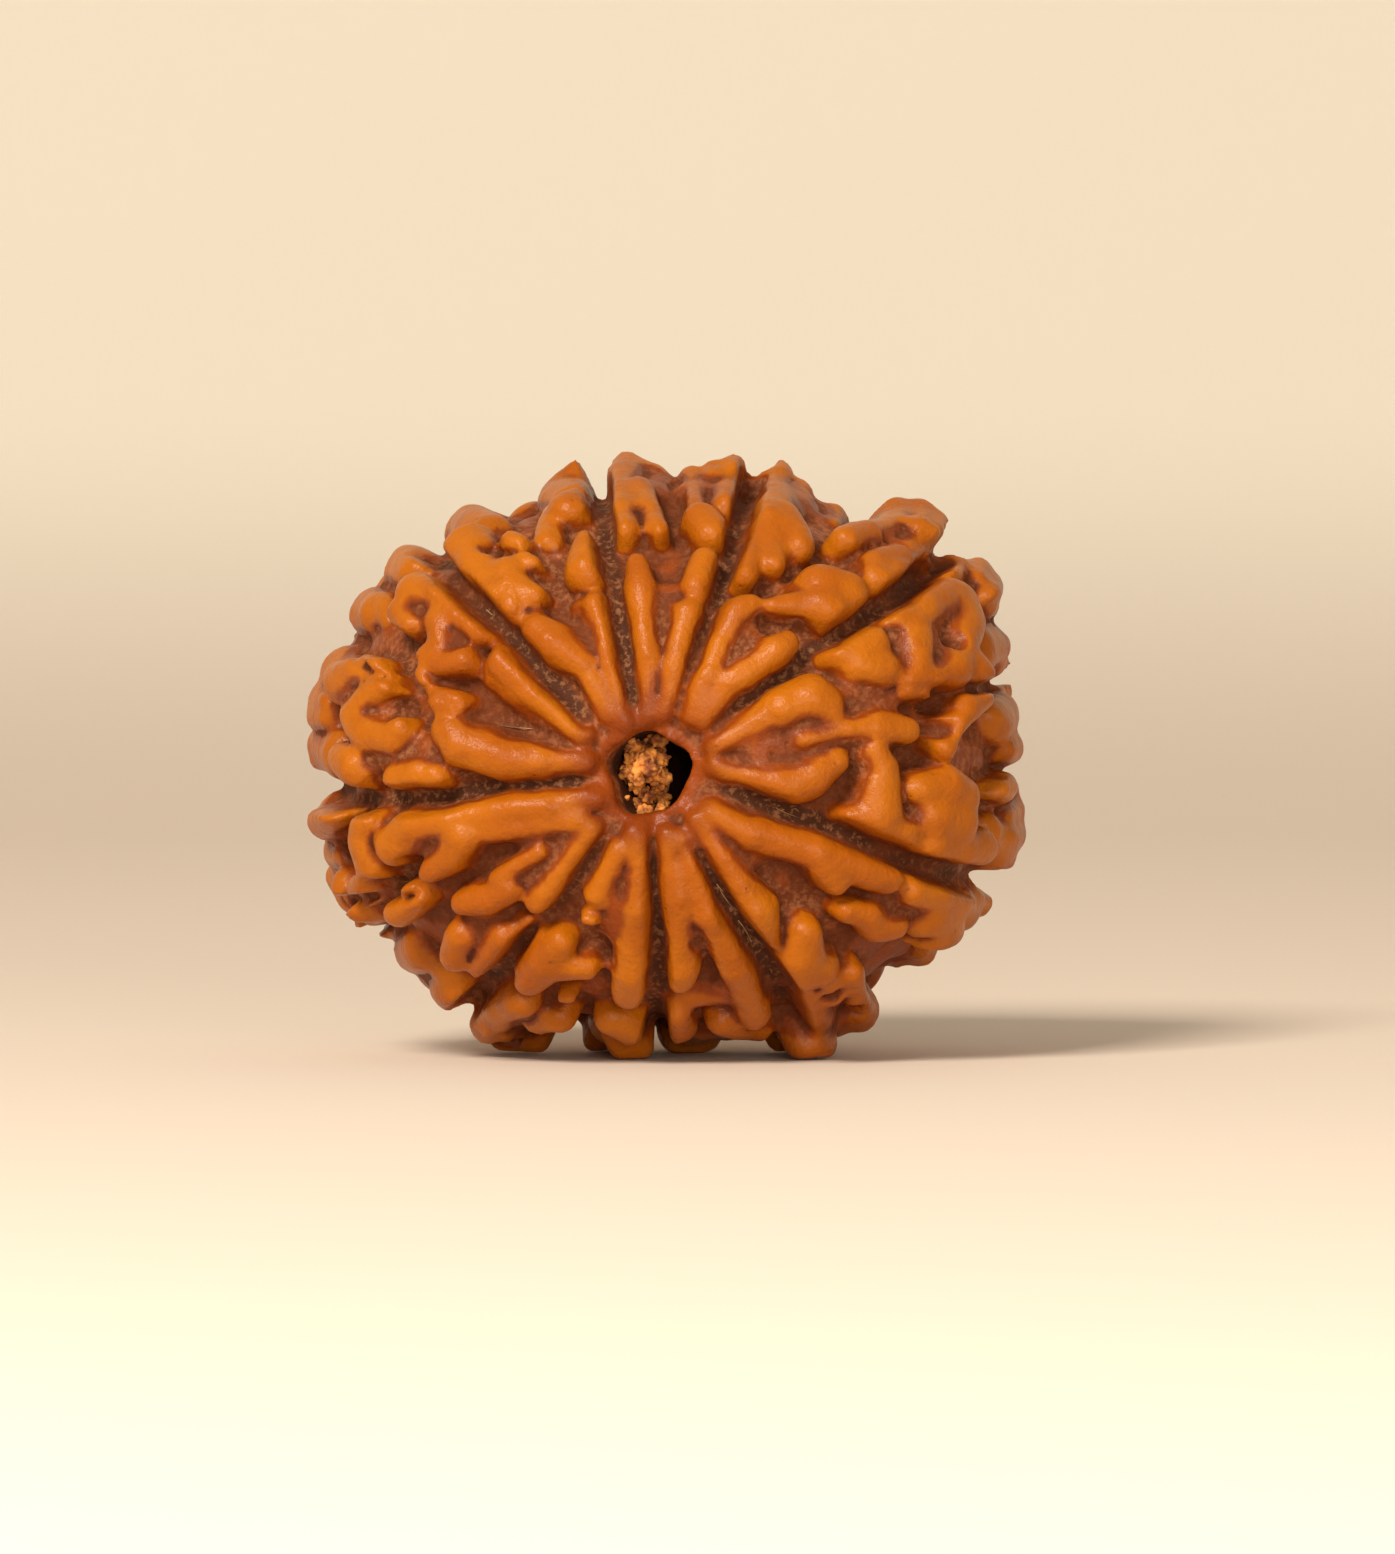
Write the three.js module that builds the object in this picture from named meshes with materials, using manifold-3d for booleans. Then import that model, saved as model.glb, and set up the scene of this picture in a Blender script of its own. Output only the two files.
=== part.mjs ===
// A rudraksha: the stone of an Elaeocarpus fruit, lying on its side with its stem channel towards -Y.
// It grew as one piece: a rounded body with twelve furrows from end to end, and ridges and knobs that
// follow the furrows. Lengths are in millimetres and +Z is up. Routes on the front are drawn as seen
// from there, x to the right and z up, and the finished stone is fitted to the overall size.

import * as THREE from "three";
import { mergeVertices } from "three/addons/utils/BufferGeometryUtils.js";
import Module from "manifold-3d";

const wasm = await Module();
wasm.setup();

// Overall size, and the colour of the polished stone
const WIDTH = 30;
const DEPTH = 23;
const HEIGHT = 25.2;
const STONE_COLOUR = 0xb5661f;
const STONE_ROUGHNESS = 0.42;

// The body under the ridges, an ellipsoid made squarer by an exponent over 2
const BODY_CENTRE = new THREE.Vector3(0, 0, 12.3);
const BODY_HALF = new THREE.Vector3(12.7, 10.2, 10.3);
const BODY_EXPONENT = 2.3;
const BODY_MEAN_RADIUS = 11;
// Rows of the body's surface: shares of the way from the front mouth to the rim, then angles behind it,
// from the front end of the channel, 0, over the rim, 90, to the back end, 180
const FRONT_ROWS = [0, 0.25, 0.5, 0.76, 1];
const BACK_ROWS = [90, 106, 124, 142, 158];
const RIM_GAUGE = 0.97;
// Columns of the surface between two furrows: distances from the furrow's middle line
const FURROW_HALF_WIDTH = 0.5;
const FURROW_DEPTH = 0.95;

// The stem channel runs from front to back and bends aside on its way, where it is also narrower
const CHANNEL_FRONT = new THREE.Vector2(-0.9, 12.1);
const CHANNEL_BACK = new THREE.Vector2(-0.5, 12.5);
const CHANNEL_BEND = new THREE.Vector2(2.6, -0.7);
const CHANNEL_RADIUS = 1.62;
const CHANNEL_WAIST = 0.75;
const CHANNEL_SIDES = 12;
// Its stretches, as shares of the way from front to back
const CHANNEL_SHARES = [0, 0.12, 0.5, 0.88, 1];
const CHANNEL_OVERRUN = 3;
// A collar stands round each mouth: pairs of radius and height above the body
const COLLAR_RINGS = [[1.5, 0.2], [2.05, 0.5]];

// How far a ridge's middle line stands above the body, by its distance from the channel
const RISE_BY_DISTANCE = [[2, 0.3], [4, 0.65], [6.5, 1.05], [12, 1.4]];
// A ridge's crown stands above its middle line by a part of its own and a share of its half width
const CROWN_BASE = 0.3;
const CROWN_SHARE = 0.55;
const ROOT_DEPTH = 0.9;
// All ridges are this much wider at the foot than drawn, for their sloping flanks
const FLANK_FACTOR = 1.5;
// A ridge's section: across as a share of its half width, and up as a share of crown or, below 0, of root
const RIDGE_SECTION = [[-0.48, 1], [0.48, 1], [1.1, -1], [-1.1, -1]];
// A ridge ends in a blunt point, this far out in half widths and this far down in roots
const TIP_REACH = 1.05;
const TIP_DROP = 0.1;
// A knob given by one point is drawn out to both sides by this share of its half width
const KNOB_STRETCH = 0.35;

// Edges shorter than this are closed up as pieces are joined
const JOIN_TOLERANCE = 0.37;

const front = (...points) => ({ points });
const behind = (y, ...points) => ({ points, y });

// The furrows on the front, from the channel's mouth to the rim, counter-clockwise from the top
const FURROWS = [
  [[-1.3, 14.9], [-1.6, 16.5], [-2.0, 19.5], [-2.4, 21.6], [-2.65, 23.4]],
  [[-3.1, 14.0], [-4.2, 15.4], [-5.9, 17.4], [-7.6, 19.0], [-9.1, 20.6]],
  [[-5.0, 13.95], [-7.0, 14.3], [-8.7, 15.2], [-10.4, 15.6], [-12.0, 16.7]],
  [[-3.6, 11.75], [-6.0, 11.6], [-8.5, 11.15], [-11.0, 10.95], [-13.2, 11.05]],
  [[-5.6, 9.3], [-7.4, 8.3], [-9.4, 7.4], [-11.3, 7.1], [-12.3, 5.8]],
  [[-2.9, 9.2], [-3.8, 7.6], [-5.2, 5.9], [-6.5, 4.1], [-7.9, 2.7]],
  [[-0.6, 9.4], [-0.4, 7.2], [-0.3, 5.0], [-0.5, 3.0], [-0.5, 1.6]],
  [[1.2, 9.2], [2.1, 7.4], [3.3, 5.5], [4.3, 3.9], [4.75, 2.2]],
  [[2.4, 11.6], [4.2, 10.9], [6.4, 10.0], [9.2, 8.6], [12.4, 7.5]],
  [[4.4, 13.0], [6.2, 13.1], [8.0, 15.2], [10.4, 15.0], [12.3, 15.2]],
  [[2.4, 14.4], [4.2, 15.9], [6.1, 17.2], [8.4, 18.6], [10.7, 20.2]],
  [[0.65, 15.3], [1.3, 17.2], [2.2, 19.6], [2.8, 21.6], [3.3, 23.3]],
];

// The ridges and knobs of the front, one group for each strip between two furrows, counter-clockwise
// from the top. A point is x, z and the half width there. What stands behind the rim has its own y.
const FRONT_RIDGES = [
  // From the furrow at eleven o'clock to the one at twelve
  front([-1.7, 14.3, 0.34], [-2.8, 18.95, 0.5]),
  front([-2.4, 14.6, 0.33], [-3.45, 16.7, 0.4]),
  front([-5.3, 18.0, 0.55], [-4.7, 17.5, 0.75], [-4.05, 17.0, 0.55]),
  front([-3.3, 20.5, 0.78], [-3.2, 21.5, 0.5]),
  front([-4.05, 22.75, 0.52], [-3.5, 22.9, 0.5]),
  front([-4.0, 23.6, 0.6], [-3.5, 24.2, 0.58]),
  front([-6.6, 20.15, 0.66], [-6.4, 18.95, 0.48]),
  front([-6.3, 19.6, 0.6], [-5.55, 19.3, 0.38]),
  front([-9.0, 21.2, 0.5], [-7.2, 19.35, 0.52]),
  front([-8.5, 21.05, 0.36], [-7.8, 21.0, 0.38], [-7.35, 20.6, 0.3]),
  behind(0.2, [-8.05, 21.6, 0.95], [-7.7, 21.5, 0.85]),
  // From the twelve o'clock furrow to the one at half past twelve
  front([-0.8, 14.5, 0.3], [-1.15, 19.8, 0.5], [-1.2, 20.6, 0.38]),
  front([-0.15, 14.6, 0.28], [0.9, 18.6, 0.5]),
  front([1.35, 19.8, 0.5], [1.6, 20.7, 0.44]),
  front([-1.7, 24.4, 0.6], [-1.95, 23.2, 0.46], [-1.7, 22.0, 0.4]),
  front([-1.5, 24.4, 0.55], [-0.75, 24.0, 0.5]),
  front([-1.2, 23.3, 0.42], [-0.25, 21.9, 0.28]),
  front([1.5, 22.4, 0.5], [1.95, 21.95, 0.55]),
  front([2.6, 23.9, 0.45], [2.6, 23.0, 0.5]),
  front([1.1, 23.45, 0.33], [1.25, 22.9, 0.25]),
  behind(-0.4, [1.1, 24.0, 0.42], [2.0, 24.25, 0.42], [2.85, 24.4, 0.5]),
  // To the furrow at one o'clock
  front([1.0, 14.5, 0.33], [1.5, 16.0, 0.4], [2.85, 18.8, 0.46], [3.5, 19.05, 0.3]),
  front([1.45, 14.3, 0.35], [2.35, 15.8, 0.42], [4.5, 17.2, 0.5], [5.0, 17.55, 0.38]),
  front([4.35, 23.5, 0.42], [3.8, 22.2, 0.55], [3.15, 20.2, 0.36]),
  front([4.6, 23.3, 0.45], [5.05, 22.1, 0.6], [5.5, 21.3, 0.5]),
  front([4.4, 22.2, 0.5], [4.45, 20.5, 0.26]),
  behind(0.8, [4.65, 24.2, 0.45], [5.4, 23.3, 0.5], [6.1, 22.4, 0.45]),
  behind(1.2, [6.9, 22.0, 0.5]),
  front([6.35, 19.85, 0.6], [7.5, 19.5, 0.6]),
  front([6.5, 19.0, 0.72], [6.9, 18.8, 0.6]),
  front([5.8, 19.0, 0.42], [4.3, 19.0, 0.25]),
  front([7.45, 21.5, 0.42], [8.3, 21.7, 0.46]),
  front([8.4, 21.7, 0.42], [9.5, 21.8, 0.42], [10.5, 21.5, 0.42]),
  front([8.6, 20.55, 0.42], [9.6, 20.7, 0.5], [10.3, 21.1, 0.44]),
  front([8.6, 20.1, 0.42], [9.0, 19.7, 0.5], [9.6, 20.0, 0.46]),
  behind(1.0, [9.8, 22.3, 0.55], [10.6, 22.2, 0.6], [11.1, 21.9, 0.5]),
  // To the furrow at two o'clock
  front([7.3, 17.2, 0.52], [8.4, 17.45, 0.66]),
  front([8.0, 16.7, 0.6], [8.85, 16.4, 0.55]),
  front([9.3, 18.3, 0.42], [11.5, 19.2, 0.7]),
  front([11.8, 18.9, 0.68], [12.1, 18.0, 0.55], [11.95, 17.2, 0.5]),
  front([10.0, 18.1, 0.55], [10.2, 16.4, 0.5]),
  front([9.8, 15.75, 0.4], [11.8, 16.4, 0.6]),
  front([11.4, 19.8, 0.5], [12.1, 19.8, 0.45]),
  behind(0.6, [12.2, 20.4, 0.42], [12.9, 20.0, 0.42], [13.4, 19.3, 0.5]),
  behind(1.2, [13.3, 18.7, 0.5]),
  behind(0.8, [13.1, 17.4, 0.55], [13.5, 16.9, 0.5]),
  behind(2.0, [13.6, 16.0, 0.5], [13.75, 15.2, 0.42]),
  // To the furrow at three o'clock
  front([12.5, 16.4, 0.42], [12.8, 15.8, 0.5], [12.75, 15.1, 0.45], [12.2, 14.6, 0.4]),
  front([12.2, 14.6, 0.4], [11.5, 13.9, 0.4], [11.3, 13.1, 0.34]),
  front([2.0, 13.3, 0.35], [4.9, 14.85, 0.66], [6.1, 15.2, 0.76], [6.6, 14.9, 0.6]),
  front([2.0, 12.5, 0.35], [4.9, 11.65, 0.72], [6.1, 12.0, 0.65], [6.9, 12.6, 0.42]),
  front([5.6, 13.6, 0.35], [8.6, 14.1, 0.45], [9.9, 13.85, 0.4]),
  front([8.5, 13.0, 0.36], [8.95, 12.4, 0.46], [8.8, 10.4, 0.82]),
  front([7.85, 10.05, 0.5], [8.8, 9.75, 0.66], [9.7, 9.55, 0.5]),
  front([10.5, 11.4, 0.5], [11.5, 11.4, 0.68], [12.1, 11.0, 0.55]),
  front([11.1, 10.2, 0.8], [11.9, 9.9, 0.78]),
  front([10.9, 9.0, 0.6], [12.1, 8.75, 0.66], [12.8, 8.85, 0.5]),
  behind(-2.6, [13.4, 11.1, 0.5], [13.8, 11.15, 0.48]),
  behind(-1.0, [12.7, 12.9, 0.5], [13.5, 13.1, 0.7], [14.0, 12.75, 0.55]),
  behind(0.4, [13.1, 14.0, 0.5], [13.6, 13.6, 0.45]),
  behind(0.4, [13.9, 10.9, 0.5], [14.1, 10.0, 0.5], [14.1, 9.1, 0.55], [13.7, 8.3, 0.6]),
  // To the furrow at five o'clock
  front([1.9, 10.5, 0.4], [3.6, 9.65, 0.5], [9.0, 7.7, 0.55]),
  front([1.3, 10.2, 0.35], [3.7, 6.2, 0.74], [4.0, 5.3, 0.46]),
  front([5.75, 5.4, 0.52], [5.6, 4.4, 0.84], [5.5, 3.8, 0.8]),
  front([4.9, 4.05, 0.55], [6.4, 3.9, 0.6]),
  front([5.6, 2.9, 0.62], [5.9, 2.0, 0.78], [6.2, 1.1, 0.72]),
  front([6.75, 3.4, 0.4], [6.8, 2.8, 0.42]),
  front([7.6, 3.7, 0.4], [7.85, 2.4, 0.36]),
  behind(0.2, [7.2, 1.5, 0.65], [8.1, 1.6, 0.62]),
  front([7.4, 6.4, 0.34], [8.3, 6.2, 0.42], [8.6, 5.7, 0.46], [9.3, 5.7, 0.36]),
  front([10.1, 7.15, 0.5], [11.1, 7.0, 0.65], [11.7, 6.6, 0.55]),
  front([10.9, 6.1, 0.8], [11.2, 5.5, 0.66], [10.6, 5.2, 0.45]),
  behind(0.2, [8.6, 4.3, 0.4], [9.6, 4.3, 0.46], [10.5, 4.35, 0.5]),
  behind(1.2, [12.5, 6.9, 0.5], [12.7, 6.4, 0.48]),
  // To the furrow at six o'clock
  front([0.05, 9.6, 0.3], [0.5, 7.0, 0.45], [0.58, 4.0, 0.55]),
  front([0.6, 9.5, 0.28], [1.9, 6.2, 0.48], [3.7, 1.9, 0.46]),
  front([0.35, 2.0, 0.46], [0.45, 1.35, 0.56]),
  front([2.3, 1.7, 0.42], [3.9, 1.05, 0.4]),
  // To the furrow at seven o'clock
  front([-1.3, 9.6, 0.38], [-1.15, 6.4, 0.5], [-1.35, 3.7, 0.74], [-1.6, 2.8, 0.44]),
  front([-1.9, 8.9, 0.34], [-2.8, 7.1, 0.42]),
  front([-4.5, 5.0, 0.44], [-5.0, 4.2, 0.64], [-5.7, 3.4, 0.42]),
  front([-4.3, 4.1, 0.52], [-3.4, 4.0, 0.38]),
  front([-6.2, 2.45, 0.58], [-7.0, 1.95, 0.56], [-7.2, 1.3, 0.52], [-6.5, 0.95, 0.46]),
  front([-5.4, 1.5, 0.42], [-4.7, 1.7, 0.48]),
  behind(0.6, [-8.0, 1.35, 0.45], [-7.4, 0.85, 0.5], [-6.7, 0.75, 0.46]),
  front([-2.4, 1.7, 0.46], [-1.6, 1.4, 0.6]),
  front([-2.1, 0.9, 0.5], [-1.4, 0.9, 0.55]),
  // To the furrow at eight o'clock
  front([-3.1, 9.9, 0.3], [-5.25, 6.9, 0.38]),
  front([-5.2, 8.9, 0.28], [-6.9, 7.8, 0.3]),
  front([-8.3, 6.7, 0.38], [-7.4, 6.85, 0.48], [-6.5, 7.3, 0.38]),
  front([-6.7, 5.2, 0.56], [-7.0, 4.5, 0.66], [-7.5, 3.95, 0.4]),
  front([-8.5, 5.2, 0.5], [-8.7, 4.5, 0.45]),
  front([-8.95, 2.85, 0.66], [-8.85, 2.4, 0.55]),
  behind(0.8, [-9.1, 3.4, 0.72], [-9.0, 2.7, 0.7]),
  // To the furrow at half past eight
  front([-3.0, 11.15, 0.34], [-5.0, 10.7, 0.45], [-9.0, 10.2, 0.52], [-10.4, 9.8, 0.6], [-11.2, 9.0, 0.58]),
  front([-8.4, 9.5, 0.5], [-9.6, 7.95, 0.34]),
  front([-3.7, 10.2, 0.4], [-7.2, 9.6, 0.38]),
  front([-10.3, 6.9, 0.4], [-10.95, 6.25, 0.44]),
  front([-12.3, 10.2, 0.5], [-12.4, 9.2, 0.46], [-12.1, 8.2, 0.46]),
  front([-13.5, 10.35, 0.55], [-14.0, 9.8, 0.58]),
  behind(-0.4, [-13.35, 8.3, 0.6]),
  front([-13.0, 7.0, 0.66], [-12.7, 6.4, 0.62]),
  behind(1.0, [-13.4, 7.2, 0.6], [-13.1, 6.5, 0.6]),
  behind(1.4, [-12.4, 5.5, 0.5], [-11.4, 5.5, 0.42]),
  // To the furrow at nine o'clock
  front([-3.3, 12.65, 0.36], [-7.0, 12.8, 0.64], [-8.5, 13.3, 0.7], [-9.0, 13.9, 0.5]),
  front([-9.25, 15.1, 0.38], [-8.6, 14.95, 0.38]),
  front([-11.05, 11.8, 0.5], [-10.2, 11.95, 0.56], [-9.4, 11.9, 0.34]),
  front([-13.2, 12.6, 0.48], [-12.7, 12.2, 0.7]),
  front([-12.2, 15.0, 0.44], [-12.7, 14.3, 0.48], [-12.1, 13.6, 0.6], [-11.2, 13.35, 0.46]),
  front([-10.85, 13.8, 0.4]),
  behind(0.6, [-14.2, 12.8, 0.5], [-14.1, 12.2, 0.42]),
  front([-11.8, 16.2, 0.42], [-12.8, 16.1, 0.52], [-13.5, 15.6, 0.56]),
  behind(-0.6, [-13.6, 15.6, 0.55], [-14.0, 14.8, 0.52], [-14.1, 14.1, 0.5]),
  // To the furrow at eleven o'clock
  front([-3.5, 13.8, 0.34], [-6.6, 16.7, 0.6]),
  front([-7.6, 17.9, 0.4], [-9.3, 19.2, 0.58], [-10.2, 19.3, 0.6]),
  behind(0.6, [-10.3, 20.0, 0.6], [-9.8, 20.0, 0.5]),
  front([-9.4, 18.3, 0.4], [-9.2, 17.5, 0.34]),
  front([-9.8, 16.9, 0.34], [-9.0, 16.5, 0.34], [-8.3, 16.7, 0.34]),
  front([-10.9, 18.45, 0.36], [-10.4, 18.0, 0.34]),
  behind(1.4, [-12.3, 16.9, 0.5], [-11.5, 17.2, 0.5]),
];

// From the rim to the back mouth, a beaded ridge follows each side of every furrow by rule: pairs of
// angle and half width, fat and thin by turns
const BEADS = [[75, 0.75], [89, 0.85], [102, 0.5], [115, 0.85], [129, 0.52], [142, 0.66], [165, 0.36]];
const BEAD_RISE = [[75, 0.8], [89, 1], [130, 1], [142, 0.8], [165, 0.2]];
const BEAD_WAIST = 0.55;
const BEAD_WAIST_DROP = 0.4;
// Beads keep this far from the furrow, and up to the second value further by chance, short of an angle
const BEAD_CLEARANCE = [0.35, 0.5];
const BEAD_STRAY_END = 140;
// What stands behind the rim of the front view runs this far to both sides of its place, front to back
const BEHIND_REACH = 1.1;
const BACK_RANDOM_SEED = 8108;

// Resting spots: knobs under the stone that reach a little below the surface it lies on, [x, y, half width]
const REST_KNOBS = [
  [-6.6, 1.4, 0.75], [-1.7, -2.2, 0.6], [-2.4, 3.4, 0.65],
  [0.9, 2.6, 0.6], [6.0, -1.6, 0.7], [5.6, 2.8, 0.65],
];
const REST_SINK = 0.25;
const FLOOR_BLOCK = 60;

// Dried pith still clings in the front of the channel: [x, y behind the body's front, z, radius]
const PITH_LUMPS = [
  [-1.75, 1.2, 12.5, 0.55], [-1.1, 1.5, 12.3, 0.5], [-1.9, 1.7, 11.4, 0.6], [-1.2, 1.9, 11.0, 0.55],
];

// A random number from 0 to 1, the same every time for the same seed
function seededRandom(seed) {
  let state = seed;
  return () => {
    state = (state * 1664525 + 1013904223) % 4294967296;
    return state / 4294967296;
  };
}

// A value read from a list of [place, value] pairs, straight between them
function interpolate(pairs, place) {
  const next = pairs.findIndex(([p]) => p >= place);
  if (next === 0) return pairs[0][1];
  if (next < 0) return pairs[pairs.length - 1][1];
  const [p0, v0] = pairs[next - 1];
  const [p1, v1] = pairs[next];
  return THREE.MathUtils.lerp(v0, v1, (place - p0) / (p1 - p0));
}

// 1 on the body's surface, less inside and more outside
function bodyGauge(point) {
  const q = point.clone().sub(BODY_CENTRE).divide(BODY_HALF);
  const sum = [q.x, q.y, q.z].reduce((s, v) => s + Math.abs(v) ** BODY_EXPONENT, 0);
  return sum ** (1 / BODY_EXPONENT);
}

// How far a point stands above the body's surface
function heightAboveBody(point) {
  return (1 - 1 / bodyGauge(point)) * point.distanceTo(BODY_CENTRE);
}

// The direction straight out of the body at a point
function outward(point) {
  const q = point.clone().sub(BODY_CENTRE).divide(BODY_HALF);
  const slope = (v) => Math.sign(v) * Math.abs(v) ** (BODY_EXPONENT - 1);
  return new THREE.Vector3(slope(q.x), slope(q.y), slope(q.z)).divide(BODY_HALF).normalize();
}

// The point seen at x, z from the front, the given height above the body, or beside its rim
function frontPoint(x, z, rise) {
  const grown = BODY_HALF.clone().multiplyScalar(1 + rise / BODY_MEAN_RADIUS);
  const across = Math.abs((x - BODY_CENTRE.x) / grown.x) ** BODY_EXPONENT;
  const up = Math.abs((z - BODY_CENTRE.z) / grown.z) ** BODY_EXPONENT;
  const left = Math.max(0, 1 - across - up);
  return new THREE.Vector3(x, -grown.y * left ** (1 / BODY_EXPONENT), z);
}

// The point at a bearing round the body and an angle from its front end, the given height above it
function polarPoint(bearing, angle, rise) {
  const turn = THREE.MathUtils.degToRad(bearing);
  const tilt = THREE.MathUtils.degToRad(angle);
  const aside = Math.sin(tilt);
  const toBack = Math.max(0, -Math.cos(tilt));
  const point = new THREE.Vector3(aside * Math.cos(turn), -Math.cos(tilt), aside * Math.sin(turn));
  point.multiply(BODY_HALF).add(BODY_CENTRE);
  point.x += (CHANNEL_BACK.x - BODY_CENTRE.x) * toBack;
  point.z += (CHANNEL_BACK.y - BODY_CENTRE.z) * toBack;
  const reach = (1 + rise / BODY_MEAN_RADIUS) / bodyGauge(point);
  return point.sub(BODY_CENTRE).multiplyScalar(reach).add(BODY_CENTRE);
}

// A closed geometry as a solid, its faces turned outwards if they pointed in
function solidOf(geometry) {
  geometry.deleteAttribute("normal");
  geometry.deleteAttribute("uv");
  const merged = mergeVertices(geometry, 1e-4);
  const triVerts = new Uint32Array(merged.index.array);
  const vertProperties = merged.attributes.position.array;
  const mesh = { numProp: 3, vertProperties, triVerts, tolerance: JOIN_TOLERANCE };
  const made = new wasm.Manifold(new wasm.Mesh(mesh));
  if (made.volume() > 0) return made;
  triVerts.reverse();
  return new wasm.Manifold(new wasm.Mesh(mesh));
}

// The point of the body seen at x, z from the front, or the nearest short of its rim
function bodyFrontPoint(x, z) {
  const seen = new THREE.Vector3(x, BODY_CENTRE.y, z);
  seen.sub(BODY_CENTRE).multiplyScalar(Math.min(1, RIM_GAUGE / bodyGauge(seen.clone().add(BODY_CENTRE))));
  seen.add(BODY_CENTRE);
  return frontPoint(seen.x, seen.z, 0);
}

// The bearing at which a furrow leaves the front
function rimBearing(furrow) {
  const [x, z] = furrow[furrow.length - 1];
  const across = (x - BODY_CENTRE.x) / BODY_HALF.x;
  const up = (z - BODY_CENTRE.z) / BODY_HALF.z;
  return THREE.MathUtils.radToDeg(Math.atan2(up, across));
}

// The furrows' middle lines as rows of points on the body, from the front mouth to the back
function furrowRows(furrow, wander) {
  const route = new THREE.SplineCurve(furrow.map(([x, z]) => new THREE.Vector2(x, z)));
  const bearing = rimBearing(furrow);
  return [
    ...FRONT_ROWS.map((share) => {
      const { x, y } = route.getPointAt(share);
      return bodyFrontPoint(x, y);
    }),
    ...BACK_ROWS.map((angle) => polarPoint(bearing + wander(angle), angle, 0)),
  ];
}

// A point a share of the way between two points of one row, still on the body
function betweenOnBody(from, to, share) {
  const point = from.clone().lerp(to, share);
  return point.sub(BODY_CENTRE).divideScalar(bodyGauge(point.clone().add(BODY_CENTRE))).add(BODY_CENTRE);
}

// A collar's ring of points: under each column's first point, at a radius from the mouth's centre
function collarRing(columns, mouth, y, [radius, height]) {
  return columns.map((point) => {
    const way = new THREE.Vector2(point.x, point.z).sub(mouth).setLength(radius).add(mouth);
    return new THREE.Vector3(way.x, y + Math.sign(y) * height, way.y);
  });
}

// The body: a closed skin in rows round the channel, with a V let in along each furrow
function bodySolid(wanders) {
  const lines = FURROWS.map((furrow, i) => furrowRows(furrow, wanders[i]));
  const rows = lines[0].map((_, row) => lines.flatMap((line, i) => {
    const from = line[row];
    const to = lines[(i + 1) % lines.length][row];
    const edge = FURROW_HALF_WIDTH / from.distanceTo(to);
    const atMouth = row === 0 || row === lines[0].length - 1;
    const bottom = from.clone().addScaledVector(outward(from), atMouth ? 0 : -FURROW_DEPTH);
    return [bottom, ...[edge, 0.5, 1 - edge].map((share) => betweenOnBody(from, to, share))];
  }));
  const mouths = [[CHANNEL_FRONT, -BODY_HALF.y, rows[0]], [CHANNEL_BACK, BODY_HALF.y, rows[rows.length - 1]]];
  const [before, after] = mouths.map(([mouth, y, columns]) => [
    columns.map(() => new THREE.Vector3(mouth.x, y, mouth.y)),
    ...COLLAR_RINGS.map((ring) => collarRing(columns, mouth, y, ring)),
  ]);
  const skin = [...before, ...rows, ...after.reverse()];
  const columnCount = rows[0].length;
  const geometry = new THREE.SphereGeometry(1, columnCount, skin.length - 1);
  skin.forEach((points, row) => {
    for (let column = 0; column <= columnCount; column += 1) {
      const { x, y, z } = points[column % columnCount];
      geometry.attributes.position.setXYZ(row * (columnCount + 1) + column, x, y, z);
    }
  });
  return solidOf(geometry);
}

// A solid swept along points on or above the body. Each station has its place, half width, crown and root,
// and the section says how they shape it. Both ends close in a tip.
function sweptSolid(stations) {
  const sides = RIDGE_SECTION.length;
  const last = stations.length - 1;
  const geometry = new THREE.SphereGeometry(1, sides, last + 2);
  const position = geometry.attributes.position;
  const put = (row, column, { x, y, z }) => position.setXYZ(row * (sides + 1) + column, x, y, z);
  stations.forEach((station, i) => {
    const out = outward(station.at);
    const way = stations[Math.min(last, i + 1)].at.clone().sub(stations[Math.max(0, i - 1)].at);
    way.addScaledVector(out, -way.dot(out)).normalize();
    const side = way.clone().cross(out);
    for (let column = 0; column <= sides; column += 1) {
      const [across, up] = RIDGE_SECTION[column % sides];
      const rise = up * (up > 0 ? station.crown : station.root);
      const point = station.at.clone().addScaledVector(side, across * station.halfWidth);
      put(i + 1, column, point.addScaledVector(out, rise));
    }
    const ends = [[0, 0, -1], [last, last + 2, 1]].filter(([end]) => end === i);
    ends.forEach(([, row, sign]) => {
      const tip = station.at.clone().addScaledVector(way, sign * TIP_REACH * station.halfWidth);
      tip.addScaledVector(out, -TIP_DROP * station.root);
      for (let column = 0; column <= sides; column += 1) put(row, column, tip);
    });
  });
  return solidOf(geometry);
}

// A ridge or knob through places with half widths, rooted in the body
function ridgeSolid(places) {
  const [first] = places;
  if (places.length === 1) {
    const out = outward(first.at);
    const step = new THREE.Vector3(out.z, 0, -out.x).addScalar(0.01).normalize();
    step.multiplyScalar(KNOB_STRETCH * first.halfWidth);
    places.push({ at: first.at.clone().add(step), halfWidth: first.halfWidth });
    first.at = first.at.clone().sub(step);
  }
  const stations = places.map(({ at, halfWidth }) => ({
    at,
    halfWidth: halfWidth * FLANK_FACTOR,
    crown: CROWN_BASE + CROWN_SHARE * halfWidth,
    root: Math.max(0, heightAboveBody(at)) + ROOT_DEPTH,
  }));
  return sweptSolid(stations);
}

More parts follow.
